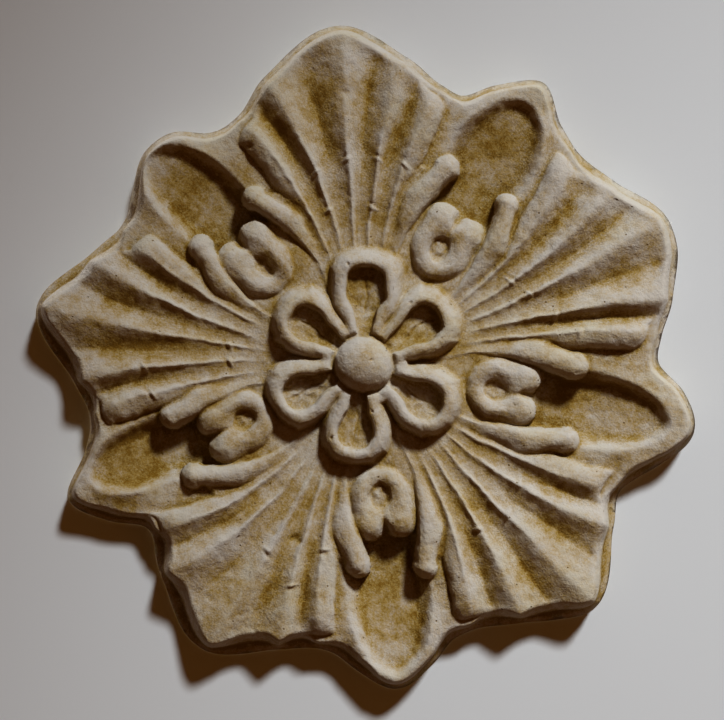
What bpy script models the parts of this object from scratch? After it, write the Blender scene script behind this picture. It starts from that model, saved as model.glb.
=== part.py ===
"""Carved stone wall plaque: five pleated fans and five scooped cups around a flower with a ball.

All sizes are in metres and all angles in degrees. The plaque hangs upright: +Z is up, the carved
front faces -Y and the flat back lies on y = 0. The origin is on the back, behind the ball.
Angles run anticlockwise from the right as the front is looked at. The carving is laid out in
shares of the plaque's reach; the heights of its forms and their widths are sizes of their own.
"""
from dataclasses import dataclass

import bpy
import numpy as np

MM = 0.001
HALF_TURN = 180.0
FULL_TURN = 360.0

# Farthest reach of the outline from the middle of the ball
PLAQUE_R = 122.5 * MM

# Blank: a turned disc that is carved, with a fine core for the flower and a fine edge
BLANK_T = 12.0 * MM
COLUMNS = 480
CORE_R = 0.33 * PLAQUE_R
CORE_RINGS = 36
FIRST_RING_R = 1.2 * MM
FIELD_RINGS = 56
EDGE_RINGS = 12
EDGE_CROWDING = 1.6
TRIANGLES = 9200
SHARP_ANGLE = 40.0

# Side wall, its draft and the round of its top edge
WALL_H = 8.5 * MM
WALL_DRAFT = 2.4 * MM
EDGE_LEAD = 1.2 * MM
EDGE_ROUND_W = 6.0 * MM
EDGE_ROUND_H = 11.6 * MM
EDGE_BAND = 9.0 * MM

# Ball
BALL_R = 9.9 * MM
BALL_SPRING = 19.0 * MM
BALL_TOP = 30.0 * MM

# Petals: keyhole hollows, each with a rim that has a crown and a rounded flank
PETAL_FLOOR = 12.6 * MM
PETAL_ROOT = 10.6 * MM
PETAL_TOP = 18.9 * MM
PETAL_CROWN = 1.9 * MM
PETAL_CROWN_DROP = 1.1 * MM
PETAL_FLANK = 3.7 * MM
CHANNEL_HALF = 2.7 * MM
CHANNEL_FROM = 6.0 * MM
KEYHOLE_BLEND = 2.6 * MM

# Fans: reach of the roots, heights of the crests and of the troughs, and how the ridges bend
RIDGES = 7
ROOT_R = 0.31 * PLAQUE_R
PLEAT_FROM = 0.245 * PLAQUE_R
RISE_TO = 0.59 * PLAQUE_R
SECOND_RISE_FROM = 0.45 * PLAQUE_R
SECOND_RISE_TO = 0.75 * PLAQUE_R
FALL_TO = 0.82 * PLAQUE_R
ROOT_CREST = 13.2 * MM
TIP_CREST = 19.6 * MM
FIRST_RISE = 0.55
ROOT_FLOOR = 10.9 * MM
MIDDLE_FLOOR = 11.8 * MM
TIP_FLOOR = 11.2 * MM
RIDGE_BEND = 1.35
RIDGE_RUN_ON = 1.3

# Section of a ridge: a thin arris near the root, a broad rounded body near the outline
SOFT_FROM = 0.506 * PLAQUE_R
SOFT_TO = 0.735 * PLAQUE_R
ARRIS_POWER = 2.0
ROUND_SHARE = 0.45
ROUND_POWER = 2.2
BODY_POWER = 1.35

# Ends of the ridges: noses that stop short of the outline, over a shelf
SHELF = 13.0 * MM
NOSE_W = 6.5 * MM
NOSE_SCALLOP = 2.5 * MM
NOSE_BACK = (0.0, 5.5 * MM, 0.5 * MM, 0.0, 0.5 * MM, 5.0 * MM, 0.0)
EDGE_DEPTH = 0.68
EDGE_DEPTH_FROM = 2.0 * MM
EDGE_DEPTH_TO = 10.0 * MM

# Side flanks of a fan, past its outermost long ridges
FLANK_DROP = 7.0 * MM
FLANK_POWER = 1.5
FLANK_W = 9.0 * MM
FLANK_RUN = 20.0 * MM
FLANK_ROOT_SHARE = 0.1
FLANK_NOSE = 4.0 * MM
FLANK_LEAD = 4.0 * MM
FLANK_FULL = 6.0 * MM

# Fingers: the shortest ridge on each side of a fan, which ends in a knob over the cup
FINGER_ROOT = 2.2 * MM
FINGER_TIP = 4.7 * MM
FINGER_FULL = 8.0 * MM
FINGER_TOP = 17.6 * MM
FINGER_DOME = 9.0 * MM
FINGER_RISE_TO = 0.54 * PLAQUE_R

# Cups: hollows between the fans, deepest behind the eyes, each with a raised lip
BED_FROM = 0.376 * PLAQUE_R
BED_TO = 0.539 * PLAQUE_R
BED_HALF = 13.5 * MM
BED_FLOOR = 12.4 * MM
BED_FALL_FROM = 0.449 * PLAQUE_R
BED_FALL_TO = 0.531 * PLAQUE_R
POCKET_FROM = 0.473 * PLAQUE_R
POCKET_TAPER_FROM = 0.686 * PLAQUE_R
POCKET_RISE_FROM = 0.571 * PLAQUE_R
POCKET_TIP = 10.8 * MM
POCKET_WALL = 3.4 * MM
POCKET_EDGE = 0.3 * MM
POCKET_DISH = 1.2 * MM
POCKET_DISH_HALF = 12.0 * MM
POCKET_MIDDLE = 30.0 * MM
HOLLOW_BLEND = 2.0 * MM
LIP_FROM = 0.702 * PLAQUE_R
LIP_TO = 0.80 * PLAQUE_R
LIP_H = 2.1 * MM
LIP_OUT = 1.6 * MM
LIP_HALF = 1.5 * MM

# Eyes: a thick ring round a hole, split at its outer end into two lobes
EYE_R = 11.6 * MM
EYE_BASE = 10.4 * MM
EYE_TOP = 18.6 * MM
EYE_FALL = 0.09
EYE_FALL_FROM = 3.0 * MM
EYE_SIDE = 4.4 * MM
EYE_HOLE = 3.9 * MM
EYE_STRETCH = 1.25
EYE_HOLE_BACK = 0.6 * MM
EYE_HOLE_ROUND = 2.2 * MM
EYE_HOLE_DROP = 1.3 * MM
EYE_FLOOR = 12.8 * MM
EYE_BLEND = 4.0 * MM
LOBE_OUT = 8.8 * MM
LOBE_ASIDE = 5.4 * MM
LOBE_R = 6.6 * MM
CLEFT_HALF = 1.1 * MM
CLEFT_FROM = 1.5 * MM
CLEFT_TO = 12.8 * MM
CLEFT_START = 0.6 * MM
CLEFT_DEPTH = 4.5 * MM

# How softly one form runs into the next
TIGHT_BLEND = 0.5 * MM
BLEND = 0.8 * MM
EDGE_BLEND = 1.2 * MM

STONE_COLOUR = (0.62, 0.50, 0.34, 1.0)
STONE_ROUGHNESS = 0.85


@dataclass(frozen=True)
class Petal:
    """One petal: the way it points, the share its middle is out, its hollow and how square that is."""

    angle: float
    reach_share: float
    hollow: float
    squareness: float


@dataclass(frozen=True)
class Fan:
    """One fan of seven ridges: tips as angles off its axis and as shares of the plaque's reach."""

    axis: float
    root_turn: float
    root_step: float
    tip_angles: tuple
    tip_shares: tuple

    def reach(self, ridge):
        """How far out a ridge ends."""
        return self.tip_shares[ridge] * PLAQUE_R


@dataclass(frozen=True)
class Pocket:
    """The scooped end of a cup: the way it points, its end, its half widths and its floor."""

    axis: float
    end_share: float
    left: float
    right: float
    floor: float


@dataclass(frozen=True)
class Cup:
    """One cup: its outline from one side to the other, its pocket and the eye in front of it."""

    axis: float
    outline_shares: tuple
    pocket: Pocket
    eye_angle: float
    eye_share: float


PETALS = (
    Petal(88.2, 0.229, 8.0 * MM, 3.2),
    Petal(34.0, 0.216, 7.4 * MM, 2.4),
    Petal(-31.0, 0.209, 7.8 * MM, 2.4),
    Petal(-96.5, 0.201, 7.2 * MM, 2.4),
    Petal(-155.5, 0.204, 7.4 * MM, 2.4),
    Petal(144.5, 0.206, 7.4 * MM, 2.4),
)

FANS = (
    Fan(94.0, 0.5, 6.6, (30.7, 23.3, 15.2, -0.3, -11.8, -19.7, -28.4),
        (0.622, 0.821, 0.895, 1.0, 0.916, 0.857, 0.664)),
    Fan(26.0, -4.3, 5.4, (23.0, 20.1, 9.9, 0.2, -14.1, -20.4, -27.5),
        (0.665, 0.882, 0.916, 0.996, 0.934, 0.888, 0.666)),
    Fan(-46.0, -0.6, 6.1, (26.4, 20.7, 12.7, -0.1, -12.4, -22.4, -28.1),
        (0.675, 0.850, 0.883, 0.992, 0.899, 0.850, 0.660)),
    Fan(-118.0, 2.2, 5.6, (27.6, 19.4, 11.5, -1.0, -16.2, -25.6, -31.3),
        (0.629, 0.851, 0.878, 0.969, 0.861, 0.810, 0.633)),
    Fan(170.5, 1.4, 6.4, (25.4, 20.5, 13.1, -0.6, -11.8, -20.5, -27.6),
        (0.622, 0.823, 0.856, 0.980, 0.874, 0.825, 0.629)),
)

# The outline of a cup is given at these angles off its axis
CUP_SPREAD = (12.0, 7.0, 0.0, -7.0, -12.0)

CUPS = (
    Cup(57.5, (0.845, 0.913, 0.984, 0.919, 0.891),
        Pocket(57.8, 0.910, 15.5 * MM, 15.5 * MM, 7.6 * MM), 56.0, 0.407),
    Cup(-12.0, (0.873, 0.950, 0.998, 0.922, 0.861),
        Pocket(-11.5, 0.916, 14.0 * MM, 13.5 * MM, 6.2 * MM), -11.0, 0.399),
    Cup(-84.0, (0.856, 0.909, 0.965, 0.909, 0.859),
        Pocket(-83.7, 0.922, 15.0 * MM, 15.0 * MM, 6.2 * MM), -82.4, 0.397),
    Cup(-155.5, (0.808, 0.886, 0.958, 0.865, 0.826),
        Pocket(-157.2, 0.873, 11.5 * MM, 12.0 * MM, 6.2 * MM), -154.2, 0.392),
    Cup(136.0, (0.824, 0.855, 0.900, 0.881, 0.824),
        Pocket(136.0, 0.898, 12.0 * MM, 16.0 * MM, 6.2 * MM), 135.9, 0.412),
)


def ease(low, high, value):
    """Runs smoothly from 0 at low to 1 at high."""
    t = np.clip((value - low) / (high - low), 0.0, 1.0)
    return t * t * (3.0 - 2.0 * t)


def raise_to(a, b, soft):
    """The higher of two surfaces, with a soft line where they meet."""
    h = np.clip(0.5 + 0.5 * (a - b) / soft, 0.0, 1.0)
    return b + (a - b) * h + soft * h * (1.0 - h)


def cut_to(a, b, soft):
    """The lower of two surfaces, with a soft line where they meet."""
    return -raise_to(-a, -b, soft)


def dome(distance, half):
    """A round back across a form: 1 along its middle, 0 at its side."""
    return np.sqrt(np.clip(1.0 - (distance / half) ** 2, 0.0, 1.0))


def round_end(back, width):
    """A round fall over the last of a form: 1 behind the width, 0 at its end."""
    return dome(np.clip(width - back, 0.0, width), width)


def bead(distance, half):
    """A soft bump: 1 on its middle, fading to nothing about two halves away."""
    return np.exp(-((distance / half) ** 2))


def along(x, y, angle):
    """A place seen along a direction: how far along it and how far to its left."""
    turn = np.radians(angle)
    return x * np.cos(turn) + y * np.sin(turn), y * np.cos(turn) - x * np.sin(turn)


def outline_marks():
    """Angle and reach of every point the outline runs through, in order round the plaque."""
    marks = []
    for fan in FANS:
        for ridge in range(1, RIDGES - 1):
            marks.append(((fan.axis + fan.tip_angles[ridge]) % FULL_TURN, fan.reach(ridge)))
    for cup in CUPS:
        for angle, share in zip(CUP_SPREAD, cup.outline_shares):
            marks.append(((cup.axis + angle) % FULL_TURN, share * PLAQUE_R))
    marks.sort()
    return marks


def outline(angle):
    """Reach of the outline at each angle: a smooth closed curve through the marks."""
    marks = outline_marks()
    at = np.array([mark[0] for mark in marks])
    reach = np.array([mark[1] for mark in marks])
    at = np.concatenate([at - FULL_TURN, at, at + FULL_TURN])
    reach = np.tile(reach, 3)
    gap = np.diff(at)
    slope = np.diff(reach) / gap
    lean = np.zeros_like(reach)
    lean[1:-1] = (slope[1:] * gap[:-1] + slope[:-1] * gap[1:]) / (gap[1:] + gap[:-1])
    where = np.mod(angle, FULL_TURN)
    i = np.clip(np.searchsorted(at, where, side="right") - 1, 0, len(gap) - 1)
    t = (where - at[i]) / gap[i]
    start = (2.0 * t - 3.0) * t * t + 1.0
    bend_out = ((t - 2.0) * t + 1.0) * t * gap[i] * lean[i]
    bend_in = (t - 1.0) * t * t * gap[i] * lean[i + 1]
    return start * reach[i] + bend_out + (1.0 - start) * reach[i + 1] + bend_in


def cup_ground(cup, x, y):
    """The shelf with one cup scooped out of it: the bed of the eye, the pocket and its lip."""
    pocket = cup.pocket
    far, side = along(x, y, pocket.axis)
    run = pocket.end_share * PLAQUE_R - POCKET_TAPER_FROM
    t = np.clip((far - POCKET_TAPER_FROM) / run, 0.0, 1.0)
    width = np.where(side > 0.0, pocket.left, pocket.right)
    size = np.maximum(np.hypot(side / width, t), 1e-6)
    steepness = np.hypot(side / width ** 2, t / run) / size
    inside = (1.0 - size) / np.maximum(steepness, 1.0 / POCKET_MIDDLE)
    inside = np.minimum(inside, far - POCKET_FROM)
    eye_far, eye_side = along(x, y, cup.eye_angle)
    in_bed = BED_HALF - np.hypot(eye_far - np.clip(eye_far, BED_FROM, BED_TO), eye_side)
    hollow = raise_to(inside, in_bed, HOLLOW_BLEND)
    floor = BED_FLOOR + (pocket.floor - BED_FLOOR) * ease(BED_FALL_FROM, BED_FALL_TO, far)
    rise = ease(POCKET_RISE_FROM, pocket.end_share * PLAQUE_R, far)
    floor = floor + (POCKET_TIP - pocket.floor) * rise
    floor = floor + POCKET_DISH * np.clip(side / POCKET_DISH_HALF, -1.0, 1.0) ** 2
    lip = LIP_H * ease(LIP_FROM, LIP_TO, far) * bead(inside + LIP_OUT, LIP_HALF)
    return SHELF + (floor - SHELF) * ease(-POCKET_EDGE, POCKET_WALL, hollow) + lip


def ridge_angle(fan, ridge, r):
    """Angle of a ridge off the fan's axis at each distance from the middle."""
    root = fan.root_turn + (RIDGES // 2 - ridge) * fan.root_step
    t = np.clip((r - ROOT_R) / (fan.reach(ridge) - ROOT_R), 0.0, RIDGE_RUN_ON)
    return root + (fan.tip_angles[ridge] - root) * t ** RIDGE_BEND


def crest_height(r):
    """Height of the crests at each distance from the middle."""
    rise = FIRST_RISE * ease(ROOT_R, RISE_TO, r)
    rise = rise + (1.0 - FIRST_RISE) * ease(SECOND_RISE_FROM, SECOND_RISE_TO, r)
    return ROOT_CREST + (TIP_CREST - ROOT_CREST) * rise


def trough_height(r):
    """Height of the troughs at each distance from the middle."""
    floor = ROOT_FLOOR + (MIDDLE_FLOOR - ROOT_FLOOR) * ease(ROOT_R, RISE_TO, r)
    return floor + (TIP_FLOOR - MIDDLE_FLOOR) * ease(RISE_TO, FALL_TO, r)


def flank_height(crest, out, width, back):
    """The side of a fan, falling away from its outermost long ridge, with a round nose."""
    flank = crest - FLANK_DROP * (np.maximum(out, 0.0) / width) ** FLANK_POWER
    back = back - FLANK_NOSE * np.clip(out / width, 0.0, 1.5) ** 2
    return np.where(flank > SHELF, SHELF + (flank - SHELF) * round_end(back, NOSE_W), flank)


def finger_height(fan, ridge, end, angle, x, y, off):
    """A finger along a short ridge, with the knob it ends in."""
    r = np.hypot(x, y)
    full = 0.5 * (ROOT_R + end) + FINGER_FULL
    half = FINGER_ROOT + (FINGER_TIP - FINGER_ROOT) * ease(ROOT_R, full, r)
    top = ROOT_CREST + (FINGER_TOP - ROOT_CREST) * ease(ROOT_R, FINGER_RISE_TO, r)
    out = np.abs(r * np.radians(off - angle))
    shaft = np.where((r < end) & (out < half), top - FINGER_DOME * (1.0 - dome(out, half)), 0.0)
    tip = np.radians(fan.axis + ridge_angle(fan, ridge, end))
    out = np.hypot(x - end * np.cos(tip), y - end * np.sin(tip))
    knob = FINGER_TOP - FINGER_DOME * (1.0 - dome(out, FINGER_TIP))
    return np.maximum(shaft, np.where(out < FINGER_TIP, knob, 0.0))


def fan_relief(fan, x, y, to_edge):
    """Height of one fan: pleats between seven ridges, side flanks and two fingers."""
    r = np.hypot(x, y)
    off = np.degrees(np.arctan2(y, x)) - fan.axis
    off = (off + HALF_TURN) % FULL_TURN - HALF_TURN
    floor = trough_height(r)
    crest = floor + (crest_height(r) - floor) * ease(PLEAT_FROM, ROOT_R, r)
    ridges = [ridge_angle(fan, ridge, r) for ridge in range(RIDGES)]
    last = RIDGES - 1
    ends = {ridge: fan.reach(ridge) - FINGER_TIP for ridge in (0, last)}
    flanks = {}
    for ridge, finger, hand in ((1, 0, 1.0), (last - 1, last, -1.0)):
        out = r * np.radians(hand * (off - ridges[ridge]))
        widening = ease(ends[finger] - FLANK_RUN, ends[finger], r)
        width = FLANK_W * (FLANK_ROOT_SHARE + (1.0 - FLANK_ROOT_SHARE) * widening)
        flanks[finger] = flank_height(crest, out, width, to_edge - NOSE_BACK[ridge])
    relief = np.zeros_like(x)
    soft = ease(SOFT_FROM, SOFT_TO, r)
    deep = EDGE_DEPTH + (1.0 - EDGE_DEPTH) * ease(EDGE_DEPTH_FROM, EDGE_DEPTH_TO, to_edge)
    for k in range(last):
        u = (ridges[k] - off) / np.maximum(ridges[k] - ridges[k + 1], 0.001)
        v = np.clip(np.abs(1.0 - 2.0 * u), 0.0, 1.0)
        body = ROUND_SHARE * (1.0 - (1.0 - v) ** ROUND_POWER)
        body = body + (1.0 - ROUND_SHARE) * v ** BODY_POWER
        shape = v ** ARRIS_POWER * (1.0 - soft) + body * soft
        back = to_edge - np.where(u < 0.5, NOSE_BACK[k], NOSE_BACK[k + 1])
        back = back - NOSE_SCALLOP * (1.0 - v) ** 2
        pleat = crest - (crest - floor) * (1.0 - shape) * deep
        pleat = SHELF + (pleat - SHELF) * round_end(back, NOSE_W)
        finger = {0: 0, last - 1: last}.get(k)
        if finger is not None:
            opening = ease(ends[finger] - FLANK_LEAD, ends[finger] + FLANK_FULL, r)
            pleat = pleat + (flanks[finger] - pleat) * opening
        relief = np.where((u >= 0.0) & (u <= 1.0), pleat, relief)
    outside = {0: off > ridges[0], last: off < ridges[last]}
    for finger, end in ends.items():
        flank = outside[finger] & (flanks[finger] > 0.0) & (r > ROOT_R)
        relief = np.where(flank, flanks[finger], relief)
        finger_top = finger_height(fan, finger, end, ridges[finger], x, y, off)
        relief = raise_to(relief, finger_top, TIGHT_BLEND)
    return relief


def add_eye(height, cup, x, y):
    """Lays one eye over the ground: ring and lobes in one body, the hole and the cleft."""
    far, side = along(x, y, cup.eye_angle)
    far = far - cup.eye_share * PLAQUE_R
    ring = np.hypot(far, side) - EYE_R
    lobes = np.hypot(far - LOBE_OUT, np.abs(side) - LOBE_ASIDE) - LOBE_R
    inside = -cut_to(ring, lobes, EYE_BLEND)
    body = EYE_BASE + (EYE_TOP - EYE_BASE) * round_end(inside, EYE_SIDE)
    body = body - EYE_FALL * np.maximum(far - EYE_FALL_FROM, 0.0)
    from_hole = np.hypot((far + EYE_HOLE_BACK) / EYE_STRETCH, side) - EYE_HOLE
    near_hole = 1.0 - np.clip(from_hole / EYE_HOLE_ROUND, 0.0, 1.0)
    body = body - EYE_HOLE_DROP * near_hole ** 2
    opening = ease(CLEFT_FROM, CLEFT_TO, far)
    depth = np.where(far > 0.0, CLEFT_START + CLEFT_DEPTH * opening, 0.0)
    body = body - depth * bead(side, CLEFT_HALF * (1.0 + opening))
    body = np.where(inside > 0.0, body, 0.0)
    return np.where(from_hole < 0.0, EYE_FLOOR, raise_to(height, body, BLEND))


def petal_outside(petal, far, side):
    """Distance out of a petal's keyhole hollow: its round end joined with its channel."""
    reach = petal.reach_share * PLAQUE_R
    aside = np.abs(side)
    power = petal.squareness
    end = (aside ** power + np.abs(far - reach) ** power) ** (1.0 / power) - petal.hollow
    channel = np.maximum(aside - CHANNEL_HALF, np.maximum(far - reach, CHANNEL_FROM - far))
    return cut_to(end, channel, KEYHOLE_BLEND)


def add_flower(height, x, y):
    """Lays the flower over the middle: hollow petals with thick rims, and the ball."""
    r = np.hypot(x, y)
    inside = np.zeros(x.shape, dtype=bool)
    rims = np.zeros_like(x)
    for petal in PETALS:
        far, side = along(x, y, petal.angle)
        out = petal_outside(petal, far, side)
        inside = inside | (out < 0.0)
        near_hollow = 1.0 - np.clip(out / PETAL_CROWN, 0.0, 1.0)
        crown = PETAL_TOP - PETAL_CROWN_DROP * near_hollow ** 2
        past = np.clip(out - PETAL_CROWN, 0.0, PETAL_FLANK)
        flank = PETAL_ROOT + (PETAL_TOP - PETAL_ROOT) * dome(past, PETAL_FLANK)
        rim = np.where(out < PETAL_CROWN, crown, flank)
        here = (out >= 0.0) & (out < PETAL_CROWN + PETAL_FLANK) & (far > CHANNEL_FROM)
        rims = raise_to(rims, np.where(here, rim, 0.0), TIGHT_BLEND)
    height = np.where(inside, PETAL_FLOOR, raise_to(height, rims, TIGHT_BLEND))
    ball = BALL_SPRING + (BALL_TOP - BALL_SPRING) * dome(r, BALL_R)
    return np.where(r < BALL_R, np.maximum(height, ball), height)


def wall_height(to_edge):
    """Highest the stone can be near the outline: the drafted side wall and the round above it."""
    wall = WALL_H * np.clip(to_edge / WALL_DRAFT, 0.0, 1.0)
    wall = wall + EDGE_ROUND_H * round_end(to_edge - EDGE_LEAD, EDGE_ROUND_W)
    return np.where(to_edge < EDGE_BAND, wall, 2.0 * BALL_TOP)


def carve(x, y):
    """Height of the carved front above the back at each place."""
    to_edge = outline(np.degrees(np.arctan2(y, x))) - np.hypot(x, y)
    height = np.full_like(x, SHELF)
    for cup in CUPS:
        ground = cup_ground(cup, x, y)
        height = np.where(np.abs(ground - SHELF) > np.abs(height - SHELF), ground, height)
    for fan in FANS:
        height = raise_to(height, fan_relief(fan, x, y, to_edge), TIGHT_BLEND)
    for cup in CUPS:
        height = add_eye(height, cup, x, y)
    height = add_flower(height, x, y)
    height = cut_to(height, wall_height(to_edge), EDGE_BLEND)
    return np.where(to_edge > 0.0, np.maximum(height, 0.0), 0.0)


def clear_scene():
    """Empties the scene of what it starts with."""
    for thing in list(bpy.data.objects):
        bpy.data.objects.remove(thing, do_unlink=True)


def new_collection(name):
    """A collection linked to the scene."""
    group = bpy.data.collections.new(name)
    bpy.context.scene.collection.children.link(group)
    return group


def stone():
    """Pale cream stone."""
    material = bpy.data.materials.new("stone")
    material.use_nodes = True
    shader = material.node_tree.nodes["Principled BSDF"]
    shader.inputs["Base Color"].default_value = STONE_COLOUR
    shader.inputs["Roughness"].default_value = STONE_ROUGHNESS
    shader.inputs["Metallic"].default_value = 0.0
    return material


def blank_profile():
    """Half section of the blank from the middle of its face, over the edge, to its back."""
    core = np.linspace(0.0, CORE_R, CORE_RINGS + 1)
    core[1] = max(core[1], FIRST_RING_R)
    field = np.linspace(CORE_R, PLAQUE_R - EDGE_BAND, FIELD_RINGS + 1)[1:]
    t = np.linspace(0.0, 1.0, EDGE_RINGS + 1)[1:-1]
    edge = PLAQUE_R - EDGE_BAND * (1.0 - t) ** EDGE_CROWDING
    points = [(float(reach), 0.0, BLANK_T) for reach in np.concatenate([core, field, edge])]
    points.append((PLAQUE_R, 0.0, 0.0))
    points.append((0.0, 0.0, 0.0))
    return points


def turned_blank(group):
    """The plain disc, turned about its axis."""
    points = blank_profile()
    mesh = bpy.data.meshes.new("blank_profile")
    mesh.from_pydata(points, [(i, i + 1) for i in range(len(points) - 1)], [])
    blank = bpy.data.objects.new("blank", mesh)
    group.objects.link(blank)
    screw = blank.modifiers.new("turn", "SCREW")
    screw.axis = "Z"
    screw.angle = np.radians(FULL_TURN)
    screw.steps = COLUMNS
    screw.render_steps = COLUMNS
    screw.use_merge_vertices = True
    screw.merge_threshold = 0.00001
    return blank


def plain_mesh(thing, name):
    """The object's shape with its modifiers worked in."""
    bpy.context.view_layer.update()
    worked = thing.evaluated_get(bpy.context.evaluated_depsgraph_get())
    mesh = bpy.data.meshes.new_from_object(worked)
    mesh.name = name
    return mesh


def carved_mesh(blank):
    """The blank drawn out to the outline and carved, stood upright with its front to -Y."""
    mesh = plain_mesh(blank, "carving")
    places = np.zeros(len(mesh.vertices) * 3)
    mesh.vertices.foreach_get("co", places)
    x, y, z = places.reshape(-1, 3).T
    turned_r = np.hypot(x, y)
    angle = np.arctan2(y, x)
    reach = outline(np.degrees(angle))
    inner = PLAQUE_R - EDGE_BAND
    stretch = (reach - EDGE_BAND - CORE_R) / (inner - CORE_R)
    r = np.where(turned_r > CORE_R, CORE_R + (turned_r - CORE_R) * stretch, turned_r)
    r = np.where(turned_r > inner, reach - (PLAQUE_R - turned_r), r)
    px = r * np.cos(angle)
    py = r * np.sin(angle)
    front = np.where(z > 0.5 * BLANK_T, carve(px, py), 0.0)
    mesh.vertices.foreach_set("co", np.stack([px, -front, py], axis=1).ravel())
    mesh.update()
    return mesh


def main():
    """Builds the plaque."""
    clear_scene()
    group = new_collection("carved_stone_plaque")
    spare = new_collection("blanks")
    blank = turned_blank(spare)
    plaque = bpy.data.objects.new("plaque", carved_mesh(blank))
    group.objects.link(plaque)
    count = sum(len(face.vertices) - 2 for face in plaque.data.polygons)
    thin = plaque.modifiers.new("facets", "DECIMATE")
    thin.ratio = min(1.0, TRIANGLES / count)
    thin.use_collapse_triangulate = True
    final = plain_mesh(plaque, "plaque")
    plaque.modifiers.clear()
    plaque.data = final
    final.shade_smooth()
    final.set_sharp_from_angle(angle=np.radians(SHARP_ANGLE))
    final.materials.clear()
    final.materials.append(stone())
    bpy.data.objects.remove(blank, do_unlink=True)
    bpy.data.collections.remove(spare)


main()
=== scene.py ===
"""Carved stone wall plaque, finely carved and wiped with an ochre patina, on a pale wall.

The front is carved as a height over the plaque's plane: five pleated fans, five scooped cups with
eyes, and a hollow-petalled flower with a ball. The stone is then weathered with Geometry Nodes,
and its finish follows the hollows that the carving leaves, with painted shade on the slopes and side
walls that face away from the key light and a few painted shadows in deep holes. Sizes are in metres,
angles in degrees.
"""
from __future__ import annotations

import logging
from dataclasses import asdict, dataclass
from enum import Enum

import bpy
import numpy as np
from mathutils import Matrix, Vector


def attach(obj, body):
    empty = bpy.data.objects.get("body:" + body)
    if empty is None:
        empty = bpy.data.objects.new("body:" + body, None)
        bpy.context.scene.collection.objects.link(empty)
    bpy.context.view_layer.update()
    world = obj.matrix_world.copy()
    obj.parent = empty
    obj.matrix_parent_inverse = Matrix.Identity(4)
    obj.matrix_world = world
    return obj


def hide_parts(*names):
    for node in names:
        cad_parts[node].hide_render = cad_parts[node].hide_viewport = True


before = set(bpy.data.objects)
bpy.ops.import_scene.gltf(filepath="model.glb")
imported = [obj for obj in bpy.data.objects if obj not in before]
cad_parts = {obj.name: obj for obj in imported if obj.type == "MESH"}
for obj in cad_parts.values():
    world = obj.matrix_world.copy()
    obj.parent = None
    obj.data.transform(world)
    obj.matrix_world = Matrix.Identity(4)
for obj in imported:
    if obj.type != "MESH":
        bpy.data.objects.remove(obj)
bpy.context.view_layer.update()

LOG = logging.getLogger("plaque")
Field = np.ndarray

MM = 0.001
HALF_TURN = 180.0
FULL_TURN = 360.0

# Farthest reach of the plaque's outline from the middle of the ball, and width of its edge band
PLAQUE_R = 122.5 * MM
EDGE_BAND = 9.0 * MM

# The way to the side that the key light comes from; painted shade is laid on the slopes and side walls that
# face away from it
LIT_SIDE = (0.45, 0.89)

# The picture: its size in pixels, the ball's place in it and the size of a pixel on the plaque
IMAGE_W = 724
IMAGE_H = 720
BALL_PIXEL = (363.5, 364.0)
PIXEL = 0.36 * MM


def ease(low: float, high: float, value: Field) -> Field:
    """Runs smoothly from 0 at low to 1 at high; low may be the greater of the two."""
    t = np.clip((value - low) / (high - low), 0.0, 1.0)
    return t * t * (3.0 - 2.0 * t)


def blend(a: Field, b: Field, share: Field) -> Field:
    """Goes from a to b as the share goes from 0 to 1."""
    return a + (b - a) * share


def raise_to(a: Field, b: Field, soft: float) -> Field:
    """The higher of two surfaces, with a soft line where they meet."""
    h = np.clip(0.5 + 0.5 * (a - b) / soft, 0.0, 1.0)
    return b + (a - b) * h + soft * h * (1.0 - h)


def cut_to(a: Field, b: Field, soft: float) -> Field:
    """The lower of two surfaces, with a soft line where they meet."""
    return -raise_to(-a, -b, soft)


def dome(distance: Field, half: float) -> Field:
    """A round back across a form: 1 along its middle, 0 at its side."""
    return np.sqrt(np.clip(1.0 - (distance / half) ** 2, 0.0, 1.0))


def round_end(back: Field, width: float) -> Field:
    """A round fall over the last of a form: 1 behind the width, 0 at its end."""
    return dome(np.clip(width - back, 0.0, width), width)


def bead(distance: Field, half: float) -> Field:
    """A soft bump: 1 on its middle, fading to nothing about two halves away."""
    return np.exp(-((distance / half) ** 2))


@dataclass(frozen=True)
class Places:
    """Places on the front, to the right of and above the ball's middle.

    Attributes:
        x: distance to the right.
        y: distance upwards.
    """

    x: Field
    y: Field

    @property
    def r(self) -> Field:
        """Distance from the middle."""
        return np.hypot(self.x, self.y)

    @property
    def angle(self) -> Field:
        """Angle anticlockwise from the right."""
        return np.degrees(np.arctan2(self.y, self.x))

    def along(self, angle: float) -> tuple[Field, Field]:
        """Places seen along a direction.

        Args:
            angle: the direction.

        Returns:
            How far along the direction each place is, and how far to its left.
        """
        turn = np.radians(angle)
        far = self.x * np.cos(turn) + self.y * np.sin(turn)
        side = self.y * np.cos(turn) - self.x * np.sin(turn)
        return far, side

    def off(self, axis: float) -> Field:
        """Angle off an axis, from -180 to 180."""
        return (self.angle - axis + HALF_TURN) % FULL_TURN - HALF_TURN

    def near(self, pixel: tuple[float, float]) -> Field:
        """Distance from a place that is given by its pixel in the picture.

        Args:
            pixel: the pixel, counted from the left and from the top.

        Returns:
            The distance of each place.
        """
        x = (pixel[0] - BALL_PIXEL[0]) * PIXEL
        y = (BALL_PIXEL[1] - pixel[1]) * PIXEL
        return np.hypot(self.x - x, self.y - y)


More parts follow.
